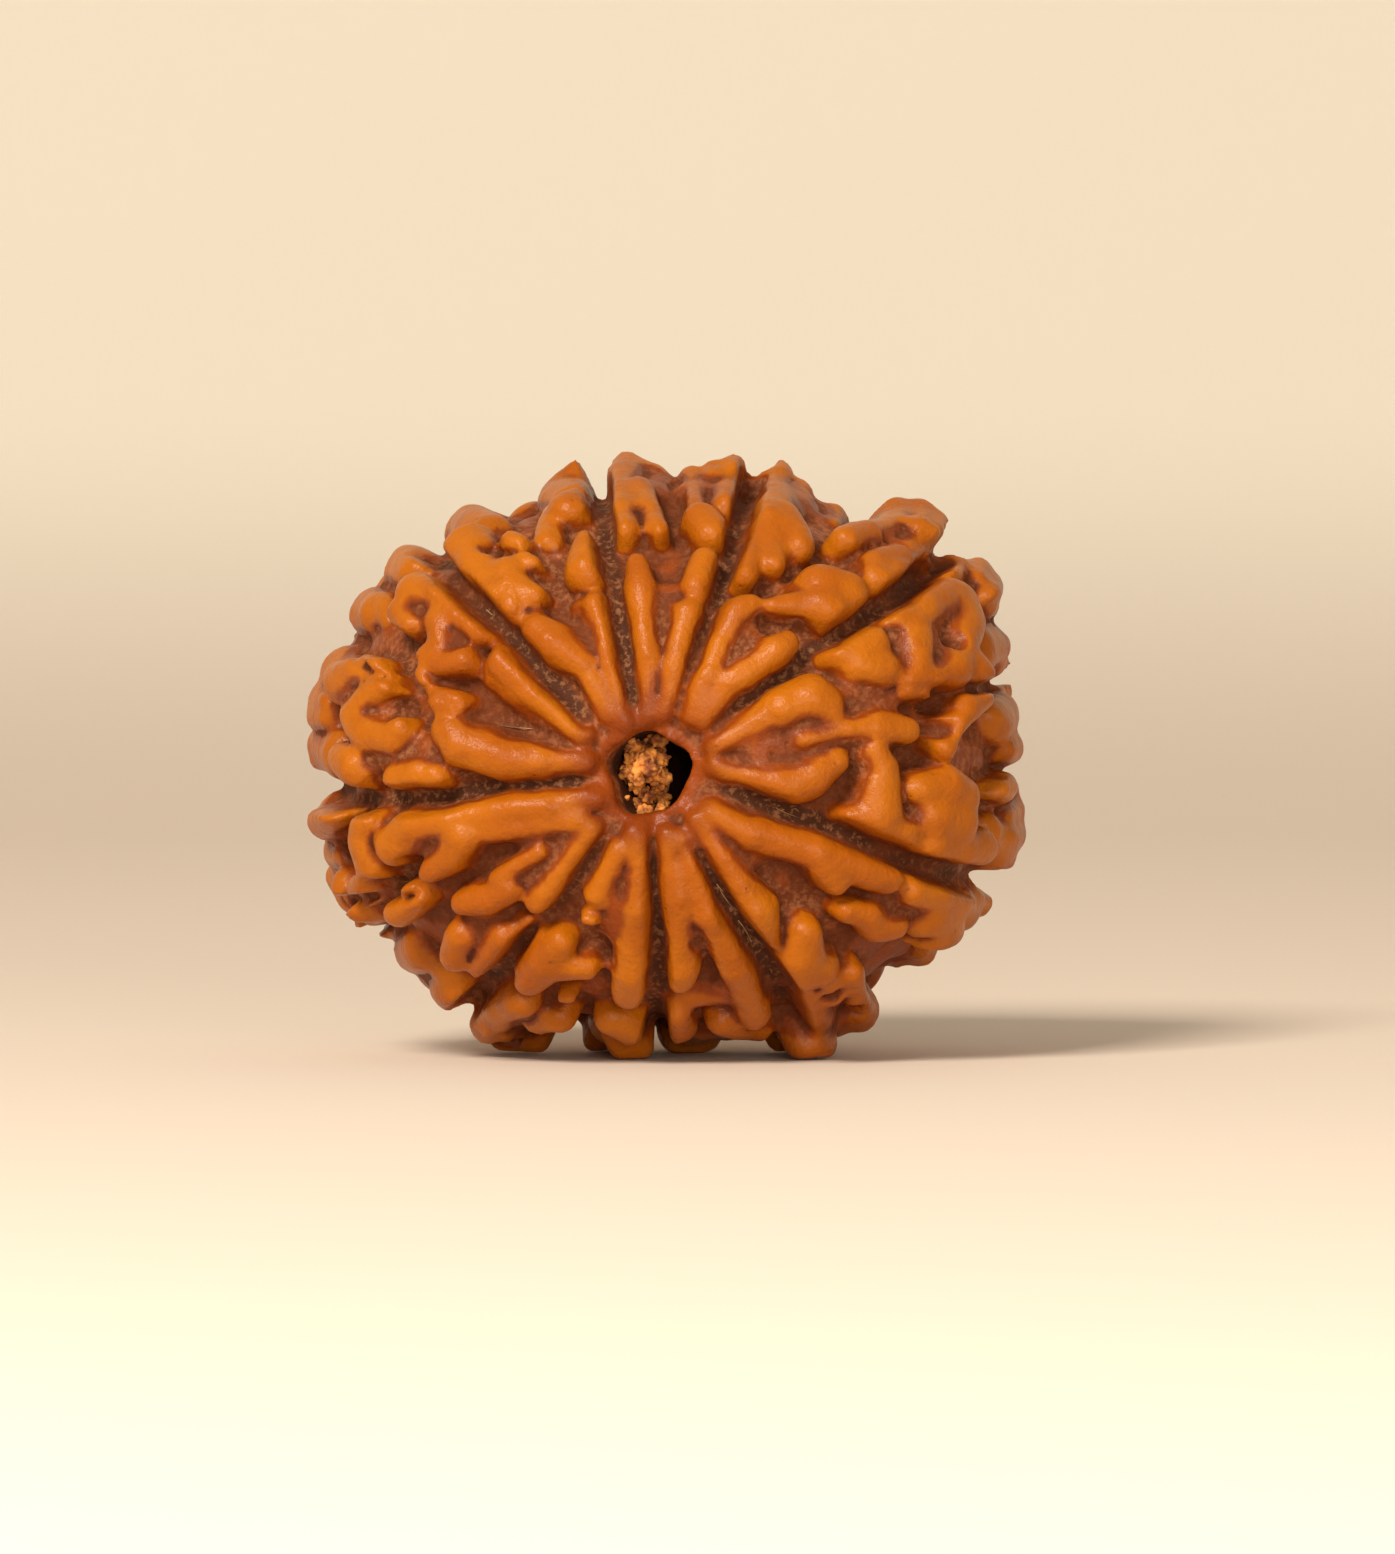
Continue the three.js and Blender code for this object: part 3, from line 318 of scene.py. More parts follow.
# The ridges and knobs of the front, one group for each strip between two furrows, counter-clockwise
# from the top. A point is x, z and the half width there, in millimetres.
FRONT_RIDGES = (
    # From the furrow at eleven o'clock to the one at twelve
    ((-1.75, 14.3, 0.34), (-2.25, 16.6, 0.4), (-2.8, 18.95, 0.52)),
    ((-2.4, 14.6, 0.33), (-3.4, 16.6, 0.42), (-4.1, 17.15, 0.58), (-4.75, 17.6, 0.72), (-5.35, 18.05, 0.52)),
    ((-3.35, 20.5, 0.78), (-3.2, 21.5, 0.5)),
    ((-4.1, 22.75, 0.56), (-3.5, 22.95, 0.56)),
    ((-4.0, 23.7, 0.66), (-3.75, 24.15, 0.7)),
    ((-6.65, 20.15, 0.68), (-6.4, 18.9, 0.5)),
    ((-6.3, 19.6, 0.62), (-5.5, 19.35, 0.4)),
    ((-8.35, 21.3, 0.9), (-7.85, 20.7, 0.62), (-7.15, 19.35, 0.56)),
    ((-6.4, 21.4, 0.36), (-6.0, 21.3, 0.3)),
    ((-5.85, 20.75, 0.26), (-5.45, 20.6, 0.24)),
    # From the twelve o'clock furrow to the one at half past twelve
    ((-0.8, 14.5, 0.3), (-0.78, 17.0, 0.36), (-1.12, 19.7, 0.5), (-1.22, 20.65, 0.38)),
    ((-0.15, 14.6, 0.28), (0.35, 16.6, 0.38), (0.9, 18.6, 0.54)),
    ((1.3, 19.75, 0.5), (1.6, 20.75, 0.46)),
    ((-1.75, 24.4, 0.62), (-1.95, 23.2, 0.48), (-1.72, 22.0, 0.42)),
    ((-1.5, 24.45, 0.6), (-0.75, 24.0, 0.52)),
    ((-1.2, 23.3, 0.5), (-0.3, 21.9, 0.3)),
    ((1.5, 22.45, 0.55), (1.95, 21.95, 0.6)),
    ((2.62, 23.9, 0.48), (2.6, 23.0, 0.52)),
    ((1.1, 23.9, 0.36), (1.2, 22.9, 0.28)),
    # To the furrow at one o'clock
    ((1.05, 14.5, 0.33), (1.7, 16.2, 0.42), (2.85, 18.75, 0.5), (3.5, 19.0, 0.36)),
    ((1.5, 14.35, 0.35), (2.6, 15.85, 0.45), (4.5, 17.2, 0.52), (5.0, 17.55, 0.4)),
    ((4.4, 23.75, 0.6), (4.4, 22.4, 0.75)),
    ((4.0, 22.6, 0.55), (3.15, 20.25, 0.42)),
    ((4.4, 22.2, 0.6), (4.45, 20.6, 0.34)),
    ((4.85, 22.6, 0.55), (5.5, 21.35, 0.5)),
    ((6.4, 19.8, 0.68), (7.5, 19.5, 0.68)),
    ((6.5, 19.0, 0.75), (6.9, 18.75, 0.68)),
    ((5.8, 19.0, 0.5), (4.3, 18.95, 0.28)),
    ((7.4, 21.5, 0.46), (8.3, 21.7, 0.5)),
    ((8.4, 21.8, 0.44), (9.5, 21.9, 0.45), (10.6, 21.6, 0.5)),
    ((8.55, 20.5, 0.46), (9.6, 20.65, 0.55), (10.3, 21.1, 0.5)),
    ((8.6, 20.0, 0.5), (9.1, 19.7, 0.56), (9.6, 20.1, 0.52)),
    # To the furrow at two o'clock
    ((7.25, 17.15, 0.52), (8.4, 17.4, 0.72)),
    ((7.9, 16.7, 0.62), (8.9, 16.45, 0.6)),
    ((9.35, 18.35, 0.42), (10.4, 18.6, 0.6), (11.5, 19.1, 0.74)),
    ((11.8, 18.9, 0.72), (12.15, 18.0, 0.6), (11.95, 17.0, 0.58), (11.8, 16.4, 0.62)),
    ((10.1, 18.1, 0.62), (10.2, 16.9, 0.58), (10.25, 16.2, 0.56)),
    ((9.95, 15.75, 0.45), (10.9, 15.8, 0.5), (11.8, 16.3, 0.6)),
    ((11.5, 19.9, 0.5), (12.1, 20.3, 0.5)),
    # To the furrow at three o'clock
    ((12.45, 16.4, 0.45), (12.8, 15.8, 0.52), (12.75, 15.1, 0.48), (12.2, 14.6, 0.44)),
    ((12.2, 14.6, 0.44), (11.55, 13.9, 0.44), (11.3, 13.1, 0.36)),
    ((2.0, 13.3, 0.35), (4.9, 14.85, 0.68), (6.1, 15.2, 0.8), (6.65, 14.9, 0.66)),
    ((2.0, 12.5, 0.35), (3.4, 12.0, 0.5), (4.9, 11.65, 0.74), (6.1, 12.0, 0.68), (6.95, 12.65, 0.44)),
    ((5.6, 13.6, 0.35), (7.4, 14.0, 0.42), (8.6, 14.1, 0.5), (9.9, 13.85, 0.42)),
    ((8.5, 13.0, 0.4), (8.95, 12.3, 0.5), (8.8, 10.5, 0.88)),
    ((7.85, 10.1, 0.55), (8.8, 9.8, 0.7), (9.75, 9.6, 0.52)),
    ((10.45, 11.4, 0.5), (11.5, 11.35, 0.74), (12.1, 11.0, 0.62)),
    ((11.05, 10.2, 0.85), (11.9, 9.9, 0.85)),
    ((10.9, 9.0, 0.62), (12.0, 8.75, 0.68), (12.8, 8.85, 0.55)),
    # To the furrow at five o'clock
    ((1.9, 10.5, 0.4), (3.6, 9.6, 0.55), (6.3, 8.75, 0.52), (9.0, 7.75, 0.56)),
    ((6.6, 8.2, 0.5), (6.95, 7.6, 0.42)),
    ((1.3, 10.2, 0.35), (2.3, 8.6, 0.48), (3.7, 6.3, 0.8), (4.05, 5.35, 0.5)),
    ((5.75, 5.4, 0.52), (5.6, 4.4, 0.88), (5.5, 3.8, 0.84)),
    ((4.85, 4.1, 0.58), (6.4, 3.95, 0.62)),
    ((5.55, 2.9, 0.66), (5.9, 2.0, 0.86), (6.3, 1.3, 0.95)),
    ((6.75, 3.4, 0.42), (6.85, 2.8, 0.44)),
    ((7.6, 3.75, 0.42), (7.85, 2.4, 0.38)),
    ((7.4, 6.4, 0.36), (8.3, 6.2, 0.46), (8.65, 5.7, 0.5), (9.4, 5.75, 0.4)),
    ((10.1, 7.15, 0.52), (11.1, 7.0, 0.7), (11.8, 6.6, 0.6)),
    ((10.9, 6.1, 0.85), (11.3, 5.5, 0.72), (10.6, 5.2, 0.48)),
    # To the furrow at six o'clock
    ((0.05, 9.6, 0.32), (0.5, 7.0, 0.5), (0.58, 4.0, 0.6), (0.55, 3.6, 0.5)),
    ((0.65, 9.5, 0.3), (1.9, 6.3, 0.55), (2.9, 4.0, 0.52), (3.7, 1.95, 0.5)),
    ((0.35, 2.0, 0.48), (0.45, 1.35, 0.6)),
    ((2.3, 1.7, 0.44), (3.9, 1.1, 0.44)),
    # To the furrow at seven o'clock
    ((-1.3, 9.6, 0.4), (-1.15, 6.5, 0.55), (-1.35, 3.8, 0.76), (-1.6, 2.8, 0.46)),
    ((-1.95, 8.95, 0.36), (-2.85, 7.15, 0.46)),
    ((-3.3, 6.15, 0.2), (-3.0, 6.1, 0.2)),
    ((-4.45, 5.05, 0.46), (-5.05, 4.2, 0.68), (-5.7, 3.4, 0.44)),
    ((-4.3, 4.1, 0.56), (-3.35, 4.05, 0.42)),
    ((-6.15, 2.5, 0.6), (-7.0, 2.0, 0.6), (-7.2, 1.3, 0.56), (-6.5, 0.95, 0.5)),
    ((-5.4, 1.5, 0.48), (-4.6, 1.75, 0.56)),
    ((-2.4, 1.7, 0.5), (-1.6, 1.45, 0.66)),
    ((-2.1, 0.95, 0.52), (-1.4, 0.95, 0.6)),
    ((-4.25, 2.85, 0.24), (-4.0, 2.85, 0.24)),
    # To the furrow at eight o'clock
    ((-3.1, 9.9, 0.32), (-5.3, 6.85, 0.44)),
    ((-5.2, 8.9, 0.3), (-6.9, 7.8, 0.32)),
    ((-8.35, 6.7, 0.4), (-7.4, 6.85, 0.52), (-6.5, 7.3, 0.4)),
    ((-6.7, 5.2, 0.58), (-7.0, 4.5, 0.7), (-7.5, 3.95, 0.44)),
    ((-8.5, 5.3, 0.52), (-8.7, 4.5, 0.5)),
    ((-8.95, 2.85, 0.7), (-8.9, 2.4, 0.6)),
    # To the furrow at half past eight
    ((-3.0, 11.15, 0.34), (-5.0, 10.75, 0.48), (-9.0, 10.2, 0.56), (-10.4, 9.8, 0.64), (-11.2, 9.0, 0.62)),
    ((-8.4, 9.4, 0.55), (-9.0, 8.6, 0.5), (-9.7, 7.95, 0.36)),
    ((-3.7, 10.2, 0.42), (-7.2, 9.65, 0.42)),
    ((-10.3, 6.95, 0.42), (-11.0, 6.25, 0.48)),
    ((-12.3, 10.2, 0.52), (-12.4, 9.2, 0.5), (-12.1, 8.2, 0.5)),
    ((-12.0, 7.6, 0.48), (-12.4, 7.0, 0.5)),
    ((-13.5, 10.35, 0.56), (-14.0, 9.8, 0.6)),
    ((-13.0, 7.0, 0.68), (-12.7, 6.4, 0.66)),
    # To the furrow at nine o'clock
    ((-3.3, 12.65, 0.36), (-5.2, 12.65, 0.5), (-7.0, 12.85, 0.66), (-8.5, 13.35, 0.74), (-9.05, 13.95, 0.52)),
    ((-9.25, 15.1, 0.42), (-8.6, 14.95, 0.4)),
    ((-11.05, 11.85, 0.52), (-10.2, 11.95, 0.6), (-9.4, 11.95, 0.36)),
    ((-13.2, 12.6, 0.5), (-12.75, 12.2, 0.74)),
    ((-11.3, 15.7, 0.36), (-12.2, 15.1, 0.46), (-12.75, 14.35, 0.5), (-12.1, 13.6, 0.64), (-11.2, 13.4, 0.5)),
    ((-10.95, 13.85, 0.4), (-10.85, 13.85, 0.4)),
    ((-11.8, 16.2, 0.44), (-12.8, 16.15, 0.54), (-13.5, 15.6, 0.58)),
    # To the furrow at eleven o'clock
    ((-3.5, 13.8, 0.36), (-5.2, 15.3, 0.52), (-6.6, 16.7, 0.66)),
    ((-7.6, 17.95, 0.42), (-8.4, 18.6, 0.5), (-9.35, 19.25, 0.64), (-10.3, 19.35, 0.64)),
    ((-9.4, 18.3, 0.45), (-9.2, 17.5, 0.4)),
    ((-9.8, 16.9, 0.38), (-9.0, 16.55, 0.36), (-8.3, 16.75, 0.38)),
    ((-10.95, 18.5, 0.38), (-10.4, 18.05, 0.36)),
    ((-9.95, 16.2, 0.22), (-9.75, 15.7, 0.22)),
)
# What stands behind the rim of the front view: its y, and points as above
BEHIND_RIDGES = (
    (0.2, ((-8.05, 21.6, 0.98), (-7.75, 21.5, 0.9))),
    (-0.4, ((1.1, 24.0, 0.42), (2.0, 24.25, 0.42), (2.85, 24.4, 0.52))),
    (0.8, ((4.65, 24.2, 0.45), (5.4, 23.3, 0.55), (6.1, 22.4, 0.5))),
    (1.2, ((6.9, 22.15, 0.55),)),
    (1.0, ((9.8, 22.35, 0.6), (10.6, 22.25, 0.65), (11.15, 21.9, 0.55))),
    (0.6, ((12.2, 20.4, 0.45), (12.9, 20.0, 0.45), (13.4, 19.3, 0.52))),
    (1.2, ((13.35, 18.7, 0.52),)),
    (0.8, ((13.1, 17.4, 0.58), (13.5, 16.9, 0.52))),
    (2.0, ((13.6, 16.0, 0.52), (13.75, 15.2, 0.45))),
    (-2.6, ((13.4, 11.1, 0.5), (13.8, 11.15, 0.48))),
    (-1.0, ((12.7, 12.9, 0.5), (13.5, 13.1, 0.7), (14.0, 12.75, 0.55))),
    (0.4, ((13.1, 14.0, 0.5), (13.6, 13.6, 0.45))),
    (0.4, ((13.9, 10.9, 0.5), (14.1, 10.0, 0.55), (14.1, 9.1, 0.6), (13.7, 8.3, 0.62))),
    (0.2, ((7.2, 1.5, 0.68), (8.1, 1.65, 0.66))),
    (0.2, ((8.6, 4.3, 0.42), (9.6, 4.3, 0.5), (10.5, 4.35, 0.55))),
    (1.2, ((12.5, 6.9, 0.55), (12.75, 6.4, 0.52))),
    (0.6, ((-8.0, 1.35, 0.45), (-7.4, 0.85, 0.5), (-6.7, 0.75, 0.46))),
    (0.8, ((-9.1, 3.4, 0.75), (-9.0, 2.7, 0.75))),
    (-0.4, ((-13.35, 8.3, 0.62),)),
    (1.0, ((-13.4, 7.2, 0.62), (-13.1, 6.5, 0.62))),
    (1.4, ((-12.4, 5.5, 0.55), (-11.4, 5.5, 0.46))),
    (0.6, ((-14.2, 12.8, 0.52), (-14.1, 12.2, 0.46))),
    (-0.6, ((-13.6, 15.6, 0.55), (-14.05, 14.8, 0.52), (-14.15, 14.1, 0.5))),
    (0.6, ((-10.3, 20.0, 0.66), (-9.8, 20.0, 0.56))),
    (1.4, ((-12.3, 16.9, 0.52), (-11.5, 17.2, 0.52))),
)
# Webs between ridges, lower than they are by this much: points as above
WEB_DROP = 0.6
WEBS = (
    ((-3.0, 19.1, 0.42), (-3.6, 19.1, 0.36)),
    ((-4.75, 22.9, 0.4), (-5.0, 21.9, 0.45)),
    ((-2.1, 14.9, 0.4), (-2.8, 16.8, 0.5), (-3.3, 18.2, 0.5)),
    ((-0.5, 15.0, 0.3), (-0.3, 17.2, 0.4), (0.1, 19.5, 0.6)),
    ((-1.3, 23.6, 0.6), (-1.0, 22.6, 0.5)),
    ((1.6, 15.2, 0.3), (2.6, 16.9, 0.5), (3.3, 17.9, 0.6)),
    ((4.3, 21.6, 0.7), (5.0, 21.2, 0.5)),
    ((9.5, 21.3, 0.6), (10.0, 21.3, 0.6)),
    ((10.8, 18.0, 0.7), (11.1, 16.6, 0.7)),
    ((2.6, 12.9, 0.5), (4.2, 13.2, 0.9), (5.8, 13.4, 0.9)),
    ((11.0, 10.9, 0.9), (11.8, 9.7, 0.9)),
    ((11.0, 6.6, 0.8), (10.6, 6.2, 0.7)),
    ((-6.7, 4.6, 0.8), (-5.9, 5.2, 0.7)),
    ((-11.9, 14.6, 0.5), (-12.0, 14.2, 0.5)),
    ((6.9, 19.3, 0.8), (5.6, 19.5, 0.6)),
    ((5.8, 3.0, 0.8), (6.0, 2.2, 0.8)),
    ((7.6, 13.6, 0.5), (8.8, 13.6, 0.5)),
    ((7.6, 15.5, 0.5), (9.2, 15.2, 0.5)),
    ((2.2, 9.9, 0.5), (3.6, 8.8, 0.5)),
    ((6.4, 3.4, 0.5), (7.3, 3.5, 0.5)),
    ((10.0, 6.5, 0.5), (9.2, 6.3, 0.5)),
    ((0.8, 8.4, 0.35), (1.15, 6.4, 0.5), (1.35, 5.5, 0.45)),
    ((1.0, 2.4, 0.5), (2.6, 2.6, 0.6)),
    ((-1.9, 8.3, 0.5), (-2.0, 6.5, 0.85), (-1.8, 5.2, 0.5)),
    ((-6.4, 1.9, 0.6), (-5.9, 1.3, 0.5)),
    ((-4.2, 9.0, 0.5), (-5.9, 7.7, 0.6)),
    ((-7.6, 6.0, 0.5), (-8.2, 5.4, 0.6)),
    ((-6.5, 10.0, 0.5), (-8.4, 9.8, 0.6), (-9.9, 9.1, 0.6)),
    ((-9.9, 13.0, 0.6), (-11.6, 12.7, 0.6)),
    ((-13.0, 14.9, 0.4), (-13.4, 14.4, 0.4)),
    ((-7.1, 16.1, 0.42), (-5.6, 14.9, 0.4), (-4.4, 14.1, 0.3)),
    ((-9.7, 18.4, 0.6), (-8.6, 17.9, 0.6)),
)
# Small pits: x, z, radius, and the height above the body that they go down to
PITS = (
    (11.25, 17.4, 0.3, 0.2), (9.15, 21.15, 0.3, 0.2), (-13.55, 13.75, 0.3, 0.1), (-10.55, 15.9, 0.42, -0.3),
    (-11.0, 14.6, 0.36, 0.0), (10.25, 12.7, 0.36, 0.0), (11.1, 14.95, 0.42, -0.4), (10.9, 13.9, 0.3, -0.2),
    (-10.2, 8.2, 0.36, 0.1), (6.5, 3.15, 0.2, 0.6), (-6.15, 1.15, 0.25, 0.3), (-1.8, 7.55, 0.12, 0.9),
    (1.25, 5.1, 0.18, 0.5), (-11.45, 7.2, 0.32, -0.3), (7.2, 2.4, 0.3, -0.2), (10.0, 5.05, 0.32, 0.0),
    (-6.95, 21.0, 0.26, 0.4), (13.2, 12.1, 0.22, 0.2), (5.2, 7.9, 0.2, 0.2), (4.3, 12.95, 0.2, 0.6),
)

LAMPS = (
    Lamp("key_light", (-0.22, -0.44, 0.38), 0.18, 4.3, (1.0, 0.93, 0.8)),
    Lamp("fill_light", (0.12, -0.55, 0.03), 0.3, 2.1, (1.0, 0.93, 0.8)),
)
WORLD_COLOUR = (1.0, 0.93, 0.8, 1.0)
WORLD_STRENGTH = 0.37


def select_only(obj: bpy.types.Object) -> None:
    """Makes obj the only selected and the active object."""
    bpy.ops.object.select_all(action="DESELECT")
    obj.select_set(True)
    bpy.context.view_layer.objects.active = obj


def apply_modifiers(obj: bpy.types.Object) -> None:
    """Applies all modifiers of obj, first to last."""
    select_only(obj)
    for modifier in list(obj.modifiers):
        bpy.ops.object.modifier_apply(modifier=modifier.name)


def named(name: str) -> bpy.types.Object:
    """Names the object that was added last, and its mesh."""
    obj = bpy.context.object
    obj.name = name
    obj.data.name = name
    return obj


def move_points(mesh: bpy.types.Mesh, points: np.ndarray) -> None:
    """Puts a mesh's vertices at new places, rows of x, y, z in metres."""
    mesh.vertices.foreach_set("co", points.ravel())
    mesh.update()


def shade_smooth(obj: bpy.types.Object) -> None:
    """Shades all faces of obj smooth."""
    select_only(obj)
    bpy.ops.object.shade_smooth()


def cloud_texture(name: str, size: float, depth: int) -> bpy.types.Texture:
    """Makes a procedural cloud texture.

    Args:
        name: Its name.
        size: The size of its clouds, in metres.
        depth: How many finer layers it has.

    Returns:
        The texture.
    """
    texture = bpy.data.textures.new(name, type="CLOUDS")
    texture.noise_scale = size
    texture.noise_depth = depth
    texture.noise_basis = "ORIGINAL_PERLIN"
    return texture


class MeshField:
    """A mesh's vertices and edges as arrays, to work out values that spread over its surface."""

    def __init__(self, mesh: bpy.types.Mesh) -> None:
        """Reads the mesh.

        Args:
            mesh: The mesh to read.
        """
        count = len(mesh.vertices)
        self.points = np.empty(count * 3)
        mesh.vertices.foreach_get("co", self.points)
        self.points = self.points.reshape(-1, 3)
        self.normals = np.empty(count * 3, np.float32)
        mesh.vertices.foreach_get("normal", self.normals)
        self.normals = self.normals.reshape(-1, 3).astype(float)
        edges = np.empty(len(mesh.edges) * 2, np.int32)
        mesh.edges.foreach_get("vertices", edges)
        self.edges = edges.reshape(-1, 2)
        both = np.concatenate([self.edges[:, 0], self.edges[:, 1]])
        self.degree = np.maximum(np.bincount(both, minlength=count), 1)

    def spread(self, values: np.ndarray, rounds: int) -> np.ndarray:
        """Averages values with those of the neighbouring vertices, again and again.

        Args:
            values: One row for each vertex.
            rounds: How many times.

        Returns:
            The averaged values.
        """
        out = values.reshape(len(self.points), -1).astype(float)
        first, second = self.edges[:, 0], self.edges[:, 1]
        count = len(self.points)
        for _ in range(rounds):
            for column in range(out.shape[1]):
                value = out[:, column]
                total = np.bincount(first, weights=value[second], minlength=count)
                total += np.bincount(second, weights=value[first], minlength=count)
                out[:, column] = 0.5 * value + 0.5 * total / self.degree
        return out.reshape(values.shape)

    def hollowness(self, rounds: int) -> np.ndarray:
        """Finds how far each vertex lies below the surface averaged round it, in metres."""
        mean = self.spread(self.points, rounds)
        return ((mean - self.points) * self.normals).sum(axis=1)


def along(route: Sequence[Sequence[float]], share: float) -> Vector:
    """Gives the point of a route a share of the way along it, as x and z."""
    place = share * (len(route) - 1)
    step = min(int(place), len(route) - 2)
    return Vector(route[step]).lerp(Vector(route[step + 1]), place - step)


def count_triangles(mesh: bpy.types.Mesh) -> int:
    """Counts a mesh's triangles, with two for each four-sided face."""
    return sum(len(polygon.vertices) - 2 for polygon in mesh.polygons)


def interpolate(pairs: Sequence[tuple[float, float]], place: object) -> np.ndarray:
    """Reads values from (place, value) pairs, straight between them."""
    return np.interp(place, [pair[0] for pair in pairs], [pair[1] for pair in pairs])


def seeded_numbers(seed: int) -> Callable[[], float]:
    """Gives a source of numbers from 0 to 1, the same each time and as in the solid."""
    state = seed

    def draw() -> float:
        nonlocal state
        state = (state * 1664525 + 1013904223) % 4294967296
        return state / 4294967296

    return draw


def store_value(mesh: bpy.types.Mesh, name: str, values: np.ndarray) -> None:
    """Stores one number for each vertex on a mesh, from 0 to 1."""
    attribute = mesh.attributes.new(name, "FLOAT", "POINT")
    attribute.data.foreach_set("value", np.clip(values, 0, 1).astype(np.float32))


def ramp(values: np.ndarray, low: float, high: float) -> np.ndarray:
    """Maps low to 0 and high to 1, with smooth ends."""
    share = np.clip((values - low) / (high - low), 0, 1)
    return share * share * (3 - 2 * share)


class NodeGraph:
    """Builds a material's nodes in few words."""

    def __init__(self, name: str) -> None:
        """Starts a material that has a Principled shader.

        Args:
            name: The material's name.
        """
        self.material = bpy.data.materials.new(name)
        self.material.use_nodes = True
        self.tree = self.material.node_tree
        self.shader = self.tree.nodes["Principled BSDF"]

    def link(self, value: object, socket: bpy.types.NodeSocket) -> None:
        """Feeds a socket from another one, or sets it to a plain value."""
        if isinstance(value, bpy.types.NodeSocket):
            self.tree.links.new(value, socket)
        else:
            socket.default_value = value

    def add(self, kind: str, **inputs: object) -> bpy.types.Node:
        """Adds a node.

        Args:
            kind: The node's type.
            inputs: Its inputs by name, with spaces written as underscores.

        Returns:
            The node.
        """
        node = self.tree.nodes.new(kind)
        for name, value in inputs.items():
            self.link(value, node.inputs[name.replace("_", " ")])
        return node

    def attribute(self, name: str) -> bpy.types.NodeSocket:
        """Reads a value that the mesh carries."""
        node = self.tree.nodes.new("ShaderNodeAttribute")
        node.attribute_name = name
        return node.outputs["Fac"]

    def coordinates(self) -> bpy.types.NodeSocket:
        """Gives the object's own coordinates, in metres."""
        return self.tree.nodes.new("ShaderNodeTexCoord").outputs["Object"]

    def clouds(
        self, where: bpy.types.NodeSocket, scale: float, detail: float, roughness: float = 0.5
    ) -> bpy.types.NodeSocket:
        """Adds a noise texture and gives its value, from 0 to 1."""
        node = self.add(
            "ShaderNodeTexNoise", Vector=where, Scale=scale, Detail=detail, Roughness=roughness
        )
        return node.outputs["Fac"]

    def cells(self, where: bpy.types.NodeSocket, scale: float) -> bpy.types.NodeSocket:
        """Adds a cell texture and gives the distance from the nearest cell's middle."""
        node = self.add("ShaderNodeTexVoronoi", Vector=where, Scale=scale)
        return node.outputs["Distance"]

    def maths(self, operation: str, *values: object) -> bpy.types.NodeSocket:
        """Adds a sum, product or other operation on numbers, without clamping."""
        node = self.tree.nodes.new("ShaderNodeMath")
        node.operation = operation
        for socket, value in zip(node.inputs, values):
            self.link(value, socket)
        return node.outputs[0]

    def span(
        self, value: bpy.types.NodeSocket, low: float, high: float, start: float = 0.0, end: float = 1.0
    ) -> bpy.types.NodeSocket:
        """Maps low to start and high to end, and holds the value there beyond them."""
        node = self.tree.nodes.new("ShaderNodeMapRange")
        node.interpolation_type = "SMOOTHSTEP"
        for name, given in (
            ("Value", value), ("From Min", low), ("From Max", high), ("To Min", start), ("To Max", end),
        ):
            self.link(given, node.inputs[name])
        return node.outputs["Result"]

    def mix(self, share: object, first: object, second: object, blend: str = "MIX") -> bpy.types.NodeSocket:
        """Mixes two colours.

        Args:
            share: How much of the second, from 0 to 1.
            first: A colour or a socket.
            second: A colour or a socket.
            blend: How they mix.

        Returns:
            The mixed colour's socket.
        """
        node = self.tree.nodes.new("ShaderNodeMix")
        node.data_type = "RGBA"
        node.blend_type = blend
        self.link(share, node.inputs[0])
        self.link(first, node.inputs[6])
        self.link(second, node.inputs[7])
        return node.outputs[2]

    def bump(self, height: object, strength: float, distance: float, under: object = None) -> bpy.types.NodeSocket:
        """Adds a bump and gives its normal, over another bump if one is given."""
        node = self.add("ShaderNodeBump", Height=height, Strength=strength, Distance=distance)
        if under is not None:
            self.link(under, node.inputs["Normal"])
        return node.outputs["Normal"]

    def clear_from_behind(self) -> None:
        """Lets a view from behind the faces pass through them."""
        behind = self.tree.nodes.new("ShaderNodeNewGeometry").outputs["Backfacing"]
        clear = self.tree.nodes.new("ShaderNodeBsdfTransparent").outputs[0]
        mixed = self.tree.nodes.new("ShaderNodeMixShader")
        for socket, value in zip(mixed.inputs, (behind, self.shader.outputs[0], clear)):
            self.link(value, socket)
        self.link(mixed.outputs[0], self.tree.nodes["Material Output"].inputs["Surface"])


def tone(red: int, green: int, blue: int) -> tuple[float, float, float, float]:
    """Gives a screen colour, each part from 0 to 255, as linear light."""
    parts = [value / 255 for value in (red, green, blue)]
    linear = [v / 12.92 if v <= 0.04045 else ((v + 0.055) / 1.055) ** 2.4 for v in parts]
    return (*linear, 1.0)


